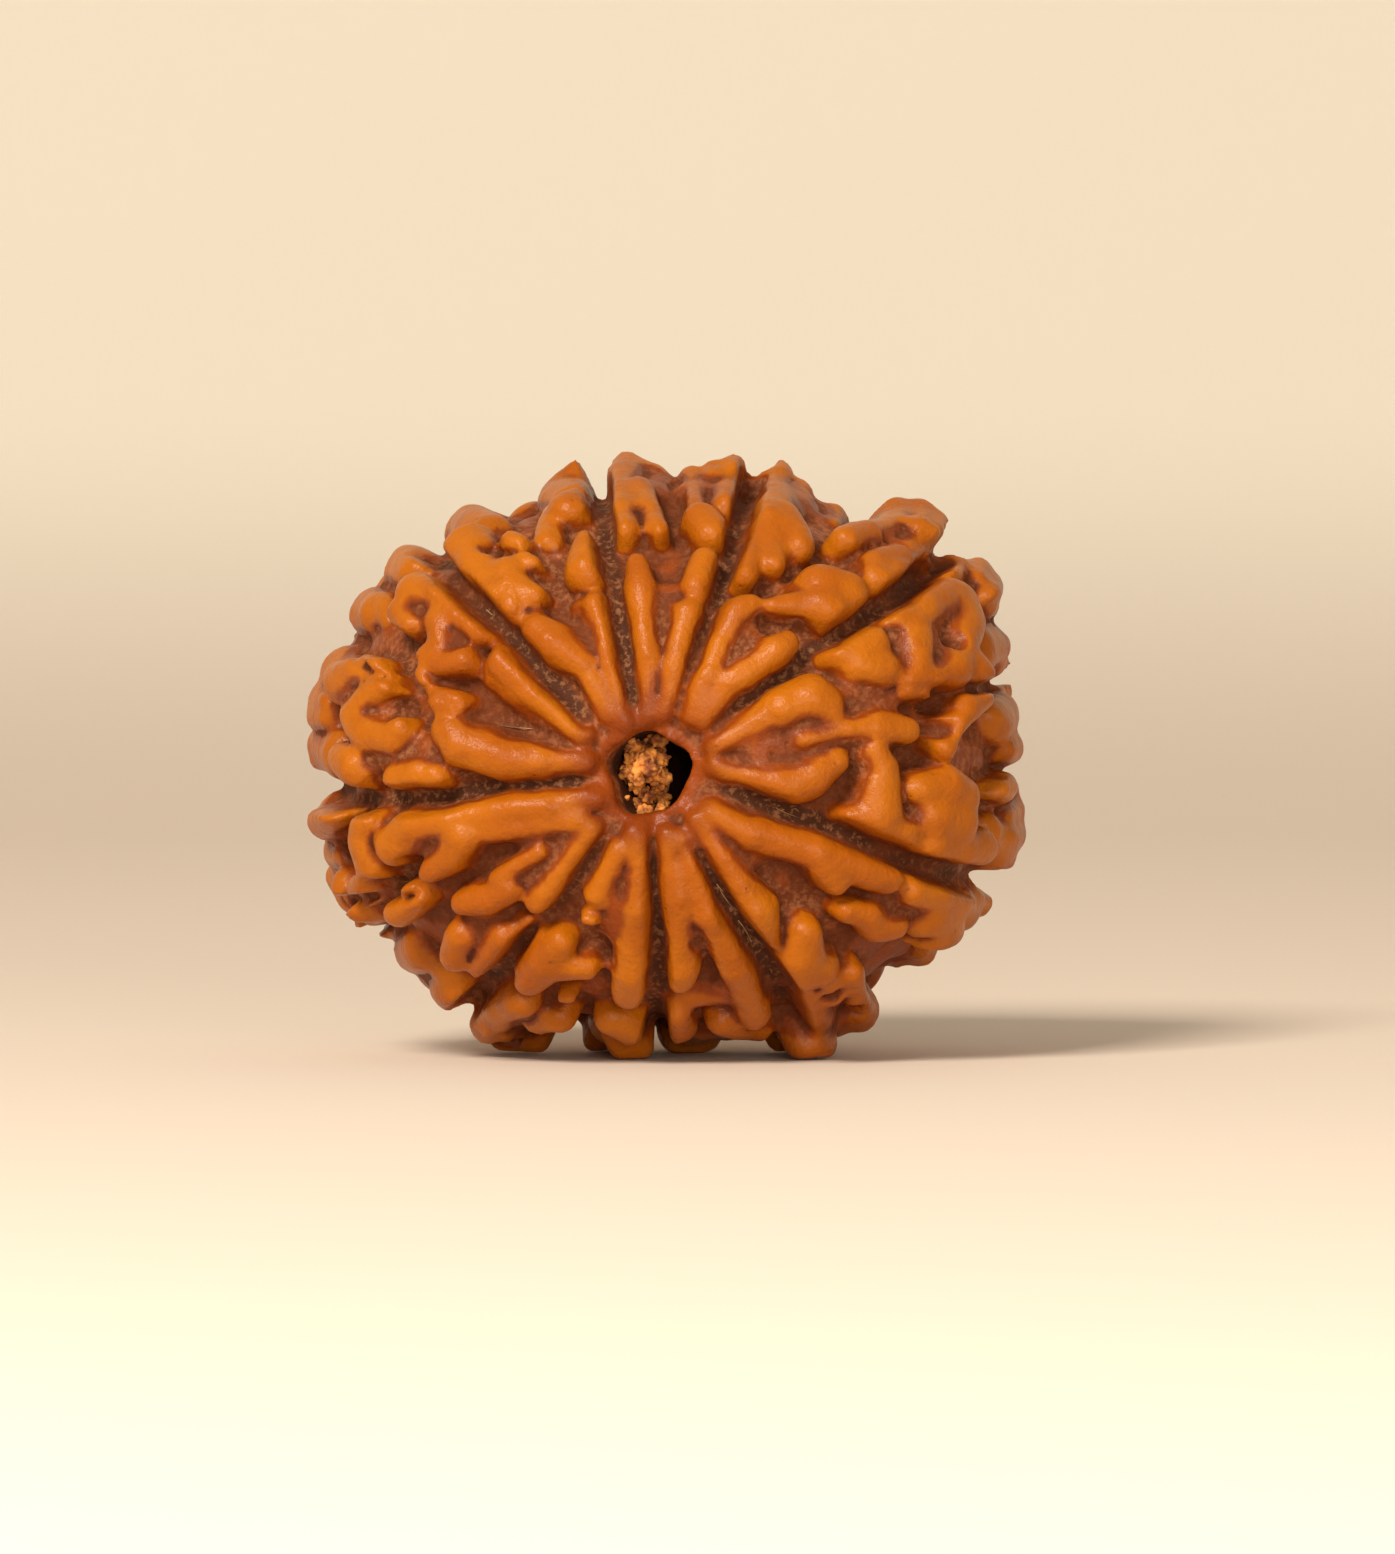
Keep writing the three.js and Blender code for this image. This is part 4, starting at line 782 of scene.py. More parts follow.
def stone_material() -> bpy.types.Material:
    """Makes the stone's look: oiled orange crowns, redder flanks partly darkened by painted shade, dusty floors,
    litter in the furrows, and painted shade in crevices and at the furrow bottoms.
    """
    graph = NodeGraph("oiled_stone")
    where = graph.coordinates()
    height = graph.attribute(Relief.HEIGHT.value)
    crevice = graph.attribute(Relief.CREVICE.value)
    crown = graph.attribute(Relief.CROWN.value)

    patches = graph.clouds(where, 210, 3)
    blotches = graph.clouds(where, 620, 4, 0.6)
    speckle = graph.clouds(where, 3400, 3, 0.65)
    pores = graph.cells(where, 1500)

    amber = graph.mix(graph.span(patches, 0.35, 0.68), tone(172, 94, 8), tone(158, 79, 6))
    amber = graph.mix(graph.span(blotches, 0.45, 0.75, 0, 0.5), amber, tone(140, 66, 7))
    flank = graph.mix(graph.span(blotches, 0.3, 0.7), tone(138, 60, 7), tone(116, 47, 9))
    dust = graph.mix(graph.span(speckle, 0.42, 0.66), tone(126, 64, 30), tone(184, 116, 74))
    dust = graph.mix(graph.span(patches, 0.35, 0.6, 0, 0.75), dust, tone(118, 52, 14))

    # Crowns take the amber colour and the rest the darker, redder flank colour: partly the stone's own colour,
    # partly painted shade that darkens each ridge away from its crown.
    wavering = graph.maths("ADD", crown, graph.maths("MULTIPLY", graph.maths("SUBTRACT", blotches, 0.5), 0.35))
    skin = graph.mix(graph.span(wavering, 0.34, 0.84), flank, amber)
    low = graph.maths("ADD", height, graph.maths("MULTIPLY", graph.maths("SUBTRACT", blotches, 0.5), 0.36))
    settled = graph.maths("MAXIMUM", graph.span(low, 0.5, 0.3, 0, 0.8), graph.span(wavering, 0.26, 0.06, 0, 0.65))
    # Painted shade: creases and narrow gaps between ridges are darkened towards near black-brown.
    colour = graph.mix(graph.span(crevice, 0.2, 0.85, 0, 0.88), skin, tone(60, 24, 8))
    colour = graph.mix(graph.maths("MULTIPLY", settled, 0.72), colour, dust)
    # Painted shade: the lowest places, at the bottoms of the furrows, are darkened.
    colour = graph.mix(graph.span(height, 0.22, 0.04, 0, 0.9), colour, tone(56, 28, 14))
    litter = graph.mix(graph.span(speckle, 0.5, 0.66), tone(62, 31, 15), tone(126, 82, 52))
    colour = graph.mix(graph.span(graph.attribute(Relief.FURROW.value), 0.25, 0.75, 0, 0.85), colour, litter)
    pits = graph.maths("MULTIPLY", graph.span(pores, 0.16, 0.05), graph.span(blotches, 0.5, 0.66))
    colour = graph.mix(graph.maths("MULTIPLY", pits, 0.45), colour, tone(96, 42, 14))
    graph.link(colour, graph.shader.inputs["Base Color"])

    rough = graph.span(graph.maths("MULTIPLY", height, graph.span(crevice, 0.8, 0.1)), 0.15, 0.6, 0.78, 0.36)
    rough = graph.maths("ADD", rough, graph.maths("MULTIPLY", graph.maths("SUBTRACT", speckle, 0.5), 0.2))
    graph.link(rough, graph.shader.inputs["Roughness"])

    grain = graph.bump(graph.clouds(where, 1300, 4, 0.6), 0.7, 0.16 * MM)
    grain = graph.bump(graph.clouds(where, 4200, 2, 0.5), 0.6, 0.04 * MM, grain)
    grit = graph.maths("MULTIPLY", speckle, graph.span(height, 0.55, 0.2))
    grain = graph.bump(grit, 0.6, 0.09 * MM, grain)
    grain = graph.bump(graph.maths("MULTIPLY", pits, -1.0), 0.5, 0.08 * MM, grain)
    graph.link(grain, graph.shader.inputs["Normal"])
    graph.shader.inputs["Specular IOR Level"].default_value = 0.19
    graph.shader.inputs["Subsurface Weight"].default_value = 0.06
    graph.shader.inputs["Subsurface Radius"].default_value = (1.0, 0.45, 0.2)
    graph.shader.inputs["Subsurface Scale"].default_value = 0.4 * MM
    return graph.material


def fibre_material(name: str, light: tuple, dark: tuple, scale: float) -> bpy.types.Material:
    """Makes a dry, matt plant material.

    Args:
        name: The material's name.
        light: Its lighter colour.
        dark: Its darker colour.
        scale: How fine its blotches are, per metre.

    Returns:
        The material.
    """
    graph = NodeGraph(name)
    where = graph.coordinates()
    blotches = graph.clouds(where, scale, 4, 0.6)
    graph.link(graph.mix(graph.span(blotches, 0.35, 0.65), light, dark), graph.shader.inputs["Base Color"])
    graph.link(graph.span(blotches, 0.3, 0.7, 0.7, 0.9), graph.shader.inputs["Roughness"])
    graph.link(graph.bump(graph.clouds(where, scale * 4, 3), 0.5, 0.05 * MM), graph.shader.inputs["Normal"])
    return graph.material


class StoneForm:
    """The stone's furrows and crest lines in its drawing's coordinates, in millimetres."""

    def __init__(self, body: StoneBody) -> None:
        """Works out the lines.

        Args:
            body: The rounded body that they lie on.
        """
        self.body = body
        draw = seeded_numbers(BACK_RANDOM_SEED)
        self.sways = [2.5 * (draw() - 0.5) for _ in FURROWS]
        self.crests = [self._front_crest(points) for points in FRONT_RIDGES]
        for y, points in BEHIND_RIDGES:
            self.crests += [self._behind_crest(y, point) for point in points]
        for furrow, sway in zip(FURROWS, self.sways):
            self.crests += self._back_crests(furrow, sway, draw)
        self.crests += self._loose_crests(draw)
        self.rests = [self._rest_crest(*knob) for knob in REST_KNOBS]
        self.crests += [self._front_crest(points, -WEB_DROP) for points in WEBS]

    def bearing(self, furrow: Sequence[Sequence[float]]) -> float:
        """Gives the bearing at which a furrow leaves the front, in degrees."""
        across = (furrow[-1][0] - self.body.centre[0]) / self.body.half[0]
        up = (furrow[-1][1] - self.body.centre[2]) / self.body.half[2]
        return math.degrees(math.atan2(up, across))

    def wander(self, sway: float, angle: float) -> float:
        """Gives how far a furrow strays from its bearing behind the rim, in degrees."""
        return sway * math.sin(math.radians(3 * (angle - 90)))

    def furrow_lines(self) -> list[list[tuple[np.ndarray, float, float]]]:
        """Gives each furrow as close points, with how far along the front each is and how strong."""
        lines = []
        for furrow, sway, (inner, outer) in zip(FURROWS, self.sways, FURROW_STRENGTH):
            line = []
            for step in range(151):
                place = along(furrow, step / 150)
                strength = inner + (outer - inner) * step / 150
                spot = self.body.front(place.x, place.y)
                line.append((self.body.on_surface(spot), step / 150, strength))
            bearing = self.bearing(furrow)
            last = line[-1][0] - np.array(self.body.centre)
            first = math.degrees(math.acos(-last[1] / np.linalg.norm(last)))
            for angle in np.arange(max(first, 60.0), BACK_END, 0.6):
                turn = bearing + (self.wander(sway, angle) if angle > 90 else 0.0)
                line.append((self.body.polar(turn, angle), 1.0, 1.0 if angle > 100 else outer))
            lines.append(line)
        return lines

    def _crest(
        self, places: Sequence[np.ndarray], widths: Sequence[float], lift: float = 0.0
    ) -> Crest:
        """Lifts a middle line to its crest."""
        tops = [
            place + self.body.outward(place) * (CROWN_BASE + CROWN_SHARE * width + lift)
            for place, width in zip(places, widths)
        ]
        return Crest(np.array(tops), np.array(widths))

    def _front_crest(self, points: Sequence[Sequence[float]], lift: float = 0.0) -> Crest:
        """Makes the crest of a ridge of the front."""
        places = []
        for x, z, _ in points:
            away = math.hypot(x - CHANNEL_FRONT[0], z - CHANNEL_FRONT[1])
            places.append(self.body.front(x, z, float(interpolate(RISE_BY_DISTANCE, away))))
        return self._crest(places, [point[2] for point in points], lift)

    def _behind_crest(self, y: float, point: Sequence[float]) -> Crest:
        """Makes the crest of a ridge that runs over the rim, front to back."""
        x, z, width = point
        narrower, lower = BEHIND_END
        middle = np.array([x, y, z])
        ends = [middle + np.array([0.0, reach, 0.0]) for reach in BEHIND_REACH]
        ends = [end - self.body.outward(end) * lower for end in ends]
        return self._crest([ends[0], middle, ends[1]], [width * narrower, width, width * narrower])

    def _back_crests(
        self, furrow: Sequence[Sequence[float]], sway: float, draw: Callable[[], float]
    ) -> list[Crest]:
        """Makes the beaded crests on both sides of a furrow, from the rim to the back."""
        crests = []
        for side in (-1, 1):
            places, widths = [], []
            for bead_angle, bead_width in BEADS:
                angle = bead_angle + (draw() - 0.5) * 4
                width = bead_width * (0.85 + 0.3 * draw())
                rim = self.body.mean_radius * math.sin(math.radians(angle))
                stray = BEAD_CLEARANCE[1] * draw() if angle < BEAD_STRAY_END else 0.0
                away = side * math.degrees((BEAD_CLEARANCE[0] + bead_width + stray) / rim)
                rise = float(interpolate(BEAD_RISE, angle))
                rise -= BEAD_WAIST_DROP if bead_width < BEAD_WAIST else 0.0
                turn = self.bearing(furrow) + self.wander(sway, angle) + away
                places.append(self.body.polar(turn, angle, rise))
                widths.append(width)
            crests.append(self._crest(places, widths))
        return crests

    def _loose_crests(self, draw: Callable[[], float]) -> list[Crest]:
        """Makes the loose knobs behind the rim, where two furrows are far apart."""
        crests = []
        bearings = sorted(self.bearing(furrow) for furrow in FURROWS)
        for first, second in zip(bearings, bearings[1:] + [bearings[0] + 360]):
            for angle in LOOSE_ANGLES:
                rim = self.body.mean_radius * math.sin(math.radians(angle))
                room = math.radians(second - first) * rim - LOOSE_ROOM[0]
                rows = int(room / LOOSE_ROOM[1] + 0.5)
                for row in range(rows):
                    turn = first + (second - first) * (row + 1) / (rows + 1) + (draw() - 0.5) * 5
                    start = angle + (draw() - 0.5) * 7
                    width = LOOSE_WIDTH[0] + (LOOSE_WIDTH[1] - LOOSE_WIDTH[0]) * draw()
                    length = LOOSE_LENGTH[0] + (LOOSE_LENGTH[1] - LOOSE_LENGTH[0]) * draw()
                    rise = LOOSE_RISE[0] + (LOOSE_RISE[1] - LOOSE_RISE[0]) * draw()
                    bend = (draw() - 0.5) * 8
                    places = [
                        self.body.polar(turn, start, rise), self.body.polar(turn + bend, start + length, rise),
                    ]
                    crests.append(self._crest(places, [width, width * 0.8]))
        return crests

    def _rest_crest(self, x: float, y: float, width: float) -> Crest:
        """Makes the crest of a knob under the stone."""
        place = np.array([x, y, 0.0])
        crown = CROWN_BASE + CROWN_SHARE * width
        place[2] = -self.body.outward(place)[2] * crown - REST_SINK
        return self._crest([place, place + np.array([0.3, 0.0, 0.0])], [width, width])


class ReliefField:
    """The stone's relief: how high it stands above the body along each ray from its centre."""

    def __init__(self, form: StoneForm) -> None:
        """Keeps the form and gets its furrows ready to measure distances."""
        self.form = form
        self.body = form.body
        places = [place for line in form.furrow_lines() for place in line]
        self.shares = np.array([share for _, share, _ in places])
        self.strengths = np.array([strength for _, _, strength in places])
        self.tree = KDTree(len(places))
        for index, (place, _, _) in enumerate(places):
            self.tree.insert(place, index)
        self.tree.balance()

    def furrow_distance(self, points: np.ndarray) -> tuple[np.ndarray, np.ndarray, np.ndarray]:
        """Finds how far points on the body are from the nearest furrow.

        Args:
            points: Rows of x, y, z on the body's surface.

        Returns:
            The distances, how far along its furrow the nearest place is, from 0 at the channel
            to 1 at the rim and beyond, and how strong the furrow is there.
        """
        found = [self.tree.find(point)[1:] for point in points]
        nearest = np.array([index for index, _ in found])
        gaps = np.array([gap for _, gap in found])
        return gaps, self.shares[nearest], self.strengths[nearest]

    def strayed(self, rays: np.ndarray) -> np.ndarray:
        """Gives the unit rays at which the relief is read, which stray beside and behind the rim."""
        centre = np.array(self.body.centre)
        points = centre + rays * self.body.reach(rays)[:, None]
        stray = np.array([noise.noise_vector(Vector(point) * STRAY_FINENESS) for point in points])
        lengthwise = STRAY[0] * ramp(points[:, 1], *STRAY_PLACES[0])
        around = STRAY[1] * ramp(points[:, 1], *STRAY_PLACES[1])
        points += stray * np.stack([around, lengthwise, around], axis=1)
        moved = points - centre
        return moved / np.linalg.norm(moved, axis=1)[:, None]

    def heights(self, rays: np.ndarray) -> np.ndarray:
        """Gives the relief's height along unit rays, in millimetres."""
        centre = np.array(self.body.centre)
        rays = self.strayed(rays)
        base = self.body.reach(rays)
        surface = centre + rays * base[:, None]
        distance, share, strength = self.furrow_distance(surface)
        away = np.hypot(surface[:, 0] - CHANNEL_FRONT[0], surface[:, 2] - CHANNEL_FRONT[1])
        floor = interpolate(FLOOR_BY_DISTANCE, away)
        waves = [noise.noise(Vector(point) * 0.75) + 0.5 * noise.noise(Vector(point) * 1.9) for point in surface]
        floor = floor + FLOOR_WAVES * np.array(waves)

        joined = np.zeros(len(rays))
        for crest in self.form.crests:
            rise = self._crest_rise(crest, rays, base, floor)
            joined += np.expm1(rise / JOIN_SOFTNESS)
        height = floor + JOIN_SOFTNESS * np.log1p(joined)
        limit = self._furrow_limit(distance, share, strength)
        sharper = np.minimum(height, limit)
        height = sharper - WALL_SOFTNESS * np.log1p(np.exp(-np.abs(height - limit) / WALL_SOFTNESS))
        for crest in self.form.rests:
            height = np.maximum(height, floor + self._crest_rise(crest, rays, base, floor))
        for x, z, radius, low in PITS:
            pit = self.body.front(x, z, 1.2) - centre
            along_ray = np.maximum(rays @ pit, 0)
            aside = np.linalg.norm(pit - rays * along_ray[:, None], axis=1)
            height = np.minimum(height, low + PIT_WALL * np.maximum(0, aside - radius * 0.6))
        return height

    def _crest_rise(
        self, crest: Crest, rays: np.ndarray, base: np.ndarray, floor: np.ndarray
    ) -> np.ndarray:
        """Gives how far one ridge stands above the floor along each ray."""
        rise = np.zeros(len(rays))
        power = interpolate(SECTION_POWER, np.hypot(rays[:, 0], rays[:, 2]) * base)
        tops = crest.places - np.array(self.body.centre)
        widths = interpolate(FOOT_WIDTH, crest.widths)
        for first in range(len(tops) - 1):
            start, end = tops[first], tops[first + 1]
            middle = (start + end) / 2
            reach = np.linalg.norm(middle)
            most = max(widths[first], widths[first + 1])
            half_angle = (np.linalg.norm(end - start) / 2 + most) / reach + 0.02
            near = np.flatnonzero(rays @ (middle / reach) > math.cos(min(half_angle, 1.5)))
            if not len(near):
                continue
            ray = rays[near]
            way = end - start
            length = max(way @ way, 1e-9)
            share = np.clip(((ray * reach - start) @ way) / length, 0, 1)
            top = start + share[:, None] * way
            width = widths[first] + share * (widths[first + 1] - widths[first])
            along_ray = (ray * top).sum(axis=1)
            aside = np.linalg.norm(top - ray * along_ray[:, None], axis=1)
            section = np.maximum(0, 1 - (aside / width) ** SECTION_EXPONENT) ** power[near]
            above = np.maximum(0, np.linalg.norm(top, axis=1) - base[near] - floor[near])
            falling = np.minimum(above, KNOB_ROUNDNESS * width)
            above = np.where(section > 0, above - falling * (1 - section), 0)
            rise[near] = np.maximum(rise[near], above)
        return rise

    def _furrow_limit(
        self, distance: np.ndarray, share: np.ndarray, strength: np.ndarray
    ) -> np.ndarray:
        """Gives the height that a furrow cuts everything down to, by the distance from it."""
        half = FURROW_HALF_WIDTH[0] + (FURROW_HALF_WIDTH[1] - FURROW_HALF_WIDTH[0]) * share
        depth = FURROW_DEPTH[0] + (FURROW_DEPTH[1] - FURROW_DEPTH[0]) * share
        wall = FURROW_WALL[0] + (FURROW_WALL[1] - FURROW_WALL[0]) * share
        bottom = -depth + FURROW_SHALLOW * (1 - strength)
        limit = bottom + wall * np.maximum(0, distance - half * strength) ** FURROW_ROUNDNESS
        return limit + 20 * np.maximum(0, distance - FURROW_REACH) ** 2 * share


class StoneSkin:
    """The stone's fine skin."""

    def __init__(self, form: StoneForm, plan: SkinPlan) -> None:
        """Keeps what the skin is made from.

        Args:
            form: The stone's furrows and crests.
            plan: How fine the skin is.
        """
        self.form = form
        self.plan = plan
        self.relief = ReliefField(form)
        self.shift = np.zeros(3)
        self.scale = np.ones(3)

    def build(self) -> bpy.types.Object:
        """Makes the skin and gives its object."""
        skin = self._raised_ball()
        self._bore(skin)
        self._remesh(skin)
        self._smooth(skin, self.plan.rounding)
        self._roughen(skin)
        self._thin(skin)
        self._fit_to_box(skin)
        shade_smooth(skin)
        self._measure(skin)
        skin.data.materials.clear()
        skin.data.materials.append(stone_material())
        skin.data.polygons.foreach_set("material_index", np.zeros(len(skin.data.polygons), np.int32))
        LOG.info("skin has %d triangles", count_triangles(skin.data))
        return skin

    def _raised_ball(self) -> bpy.types.Object:
        """Makes a ball whose points stand on the relief."""
        bpy.ops.object.select_all(action="DESELECT")
        bpy.ops.mesh.primitive_ico_sphere_add(
            subdivisions=self.plan.subdivisions, radius=1.0, calc_uvs=False
        )
        skin = named(Piece.STONE.value)
        rays = MeshField(skin.data).points
        rays /= np.linalg.norm(rays, axis=1)[:, None]
        body = self.form.body
        reach = body.reach(rays) + self.relief.heights(rays)
        points = np.array(body.centre) + rays * reach[:, None]
        points[:, 2] = np.maximum(points[:, 2], 0)
        move_points(skin.data, points * MM)
        return skin

    def _bore(self, skin: bpy.types.Object) -> None:
        """Cuts the stem channel out, a bent tube that is widest at its mouths."""
        steps, sides = 24, 28
        bpy.ops.object.select_all(action="DESELECT")
        bpy.ops.mesh.primitive_circle_add(
            vertices=sides, radius=1.0, fill_type="NGON", rotation=(math.pi / 2, 0, 0), enter_editmode=True
        )
        bpy.ops.mesh.select_all(action="SELECT")
        for _ in range(steps):
            bpy.ops.mesh.extrude_region_move(TRANSFORM_OT_translate={"value": (0, 1 / steps, 0)})
        bpy.ops.object.mode_set(mode="OBJECT")
        bpy.ops.object.transform_apply(location=False, rotation=True, scale=False)
        cutter = named("channel_cutter")
        bent = [self._channel_wall(*point) for point in MeshField(cutter.data).points]
        move_points(cutter.data, np.array(bent) * MM)
        bpy.ops.object.mode_set(mode="EDIT")
        bpy.ops.mesh.select_all(action="SELECT")
        bpy.ops.mesh.normals_make_consistent(inside=False)
        bpy.ops.object.mode_set(mode="OBJECT")
        cut = skin.modifiers.new("channel", "BOOLEAN")
        cut.operation = "DIFFERENCE"
        cut.solver = "MANIFOLD"
        cut.object = cutter
        apply_modifiers(skin)
        bpy.data.objects.remove(cutter)

    def _channel_wall(self, across: float, share: float, up: float) -> Vector:
        """Gives a point of the channel's wall.

        Args:
            across: The point's way out from the middle line, to the right.
            share: How far it is along the channel, 0 at the front and 1 at the back.
            up: Its way out from the middle line, upwards.

        Returns:
            The point, in millimetres.
        """
        bow = math.sin(math.pi * share) ** 2
        x = CHANNEL_FRONT[0] + (CHANNEL_BACK[0] - CHANNEL_FRONT[0]) * share + CHANNEL_BEND[0] * bow
        z = CHANNEL_FRONT[1] + (CHANNEL_BACK[1] - CHANNEL_FRONT[1]) * share + CHANNEL_BEND[1] * bow
        y = (2 * share - 1) * (self.form.body.half[1] + 1.5)
        turn = math.atan2(up, across)
        uneven = 1 + 0.06 * math.sin(3 * turn + 1) + 0.04 * math.sin(5 * turn)
        uneven += 0.12 * noise.noise(Vector((across * 1.3, y * 0.8, up * 1.3)))
        radius = CHANNEL_RADIUS * (1 + (CHANNEL_WAIST - 1) * bow) * uneven
        return Vector((x + radius * math.cos(turn), y, z + radius * math.sin(turn)))

    def _remesh(self, skin: bpy.types.Object) -> None:
        """Lays an even skin over what is there."""
        remesh = skin.modifiers.new("even_skin", "REMESH")
        remesh.mode = "VOXEL"
        remesh.voxel_size = self.plan.voxel
        apply_modifiers(skin)

    def _smooth(self, skin: bpy.types.Object, rounds: int) -> None:
        """Rounds the skin."""
        smooth = skin.modifiers.new("rounding", "SMOOTH")
        smooth.factor = 0.5
        smooth.iterations = rounds
        apply_modifiers(skin)

    def _roughen(self, skin: bpy.types.Object) -> None:
        """Raises soft lumps and a fine grain."""
        for name, size, height, depth in (
            ("lumps", 1.9 * MM, 0.3 * MM, 1),
            ("grain", 0.5 * MM, 0.04 * MM, 2),
        ):
            raised = skin.modifiers.new(name, "DISPLACE")
            raised.texture = cloud_texture(name, size, depth)
            raised.texture_coords = "LOCAL"
            raised.strength = height
            raised.mid_level = 0.5
        apply_modifiers(skin)

    def _thin(self, skin: bpy.types.Object) -> None:
        """Takes out faces where the skin is smooth, down to the plan's number."""
        triangles = count_triangles(skin.data)
        LOG.info("even skin has %d triangles", triangles)
        if triangles <= self.plan.most_triangles:
            return
        decimate = skin.modifiers.new("thinning", "DECIMATE")
        decimate.ratio = self.plan.most_triangles / triangles
        apply_modifiers(skin)

    def _fit_to_box(self, skin: bpy.types.Object) -> None:
        """Stretches the skin a little to the solid's box, as the solid is to its size."""
        low, high = (np.array(corner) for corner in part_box(NODE))
        points = MeshField(skin.data).points
        least, most = points.min(axis=0), points.max(axis=0)
        self.scale = (high - low) / (most - least)
        self.shift = low - least * self.scale
        move_points(skin.data, points * self.scale + self.shift)

    def place(self, point: np.ndarray) -> Vector:
        """Gives where a point of the drawing, in millimetres, is on the fitted skin, in metres."""
        return Vector(np.asarray(point) * MM * self.scale + self.shift)

    def _measure(self, skin: bpy.types.Object) -> None:
        """Stores how high, hollow and crowned each vertex is, and how near a furrow."""
        field = MeshField(skin.data)
        body = self.form.body
        drawn = (field.points - self.shift) / self.scale / MM
        rays = drawn - np.array(body.centre)
        reach = np.linalg.norm(rays, axis=1)
        rays /= reach[:, None]
        height = reach - body.reach(rays)
        rays = self.relief.strayed(rays)
        surface = np.array(body.centre) + rays * body.reach(rays)[:, None]
        distance, _, strength = self.relief.furrow_distance(surface)
        rounds = (0.8 * MM / self.plan.voxel) ** 2
        near = field.hollowness(round(rounds))
        wide = field.hollowness(round(rounds * 5))
        away = np.hypot(drawn[:, 0] - CHANNEL_FRONT[0], drawn[:, 2] - CHANNEL_FRONT[1])
        collar = 0.5 * (1 - ramp(away, 1.8, 4.5))
        store_value(skin.data, Relief.HEIGHT.value, ramp(height + collar, -0.9, 1.9))
        # The crevice value marks hollow places, where the material paints shade and makes the skin rougher.
        crevice = ramp(near, 0.012 * MM, 0.095 * MM)
        store_value(skin.data, Relief.CREVICE.value, field.spread(crevice, 2))
        crown = ramp(-wide, -0.1 * MM, 0.28 * MM) * (0.3 + 0.7 * ramp(away, 1.7, 4.6))
        store_value(skin.data, Relief.CROWN.value, field.spread(crown, 2))
        near_furrow = ramp(distance, 0.75, 0.15) * ramp(height, 0.9, 0.0) * np.minimum(strength, 1)
        store_value(skin.data, Relief.FURROW.value, near_furrow)


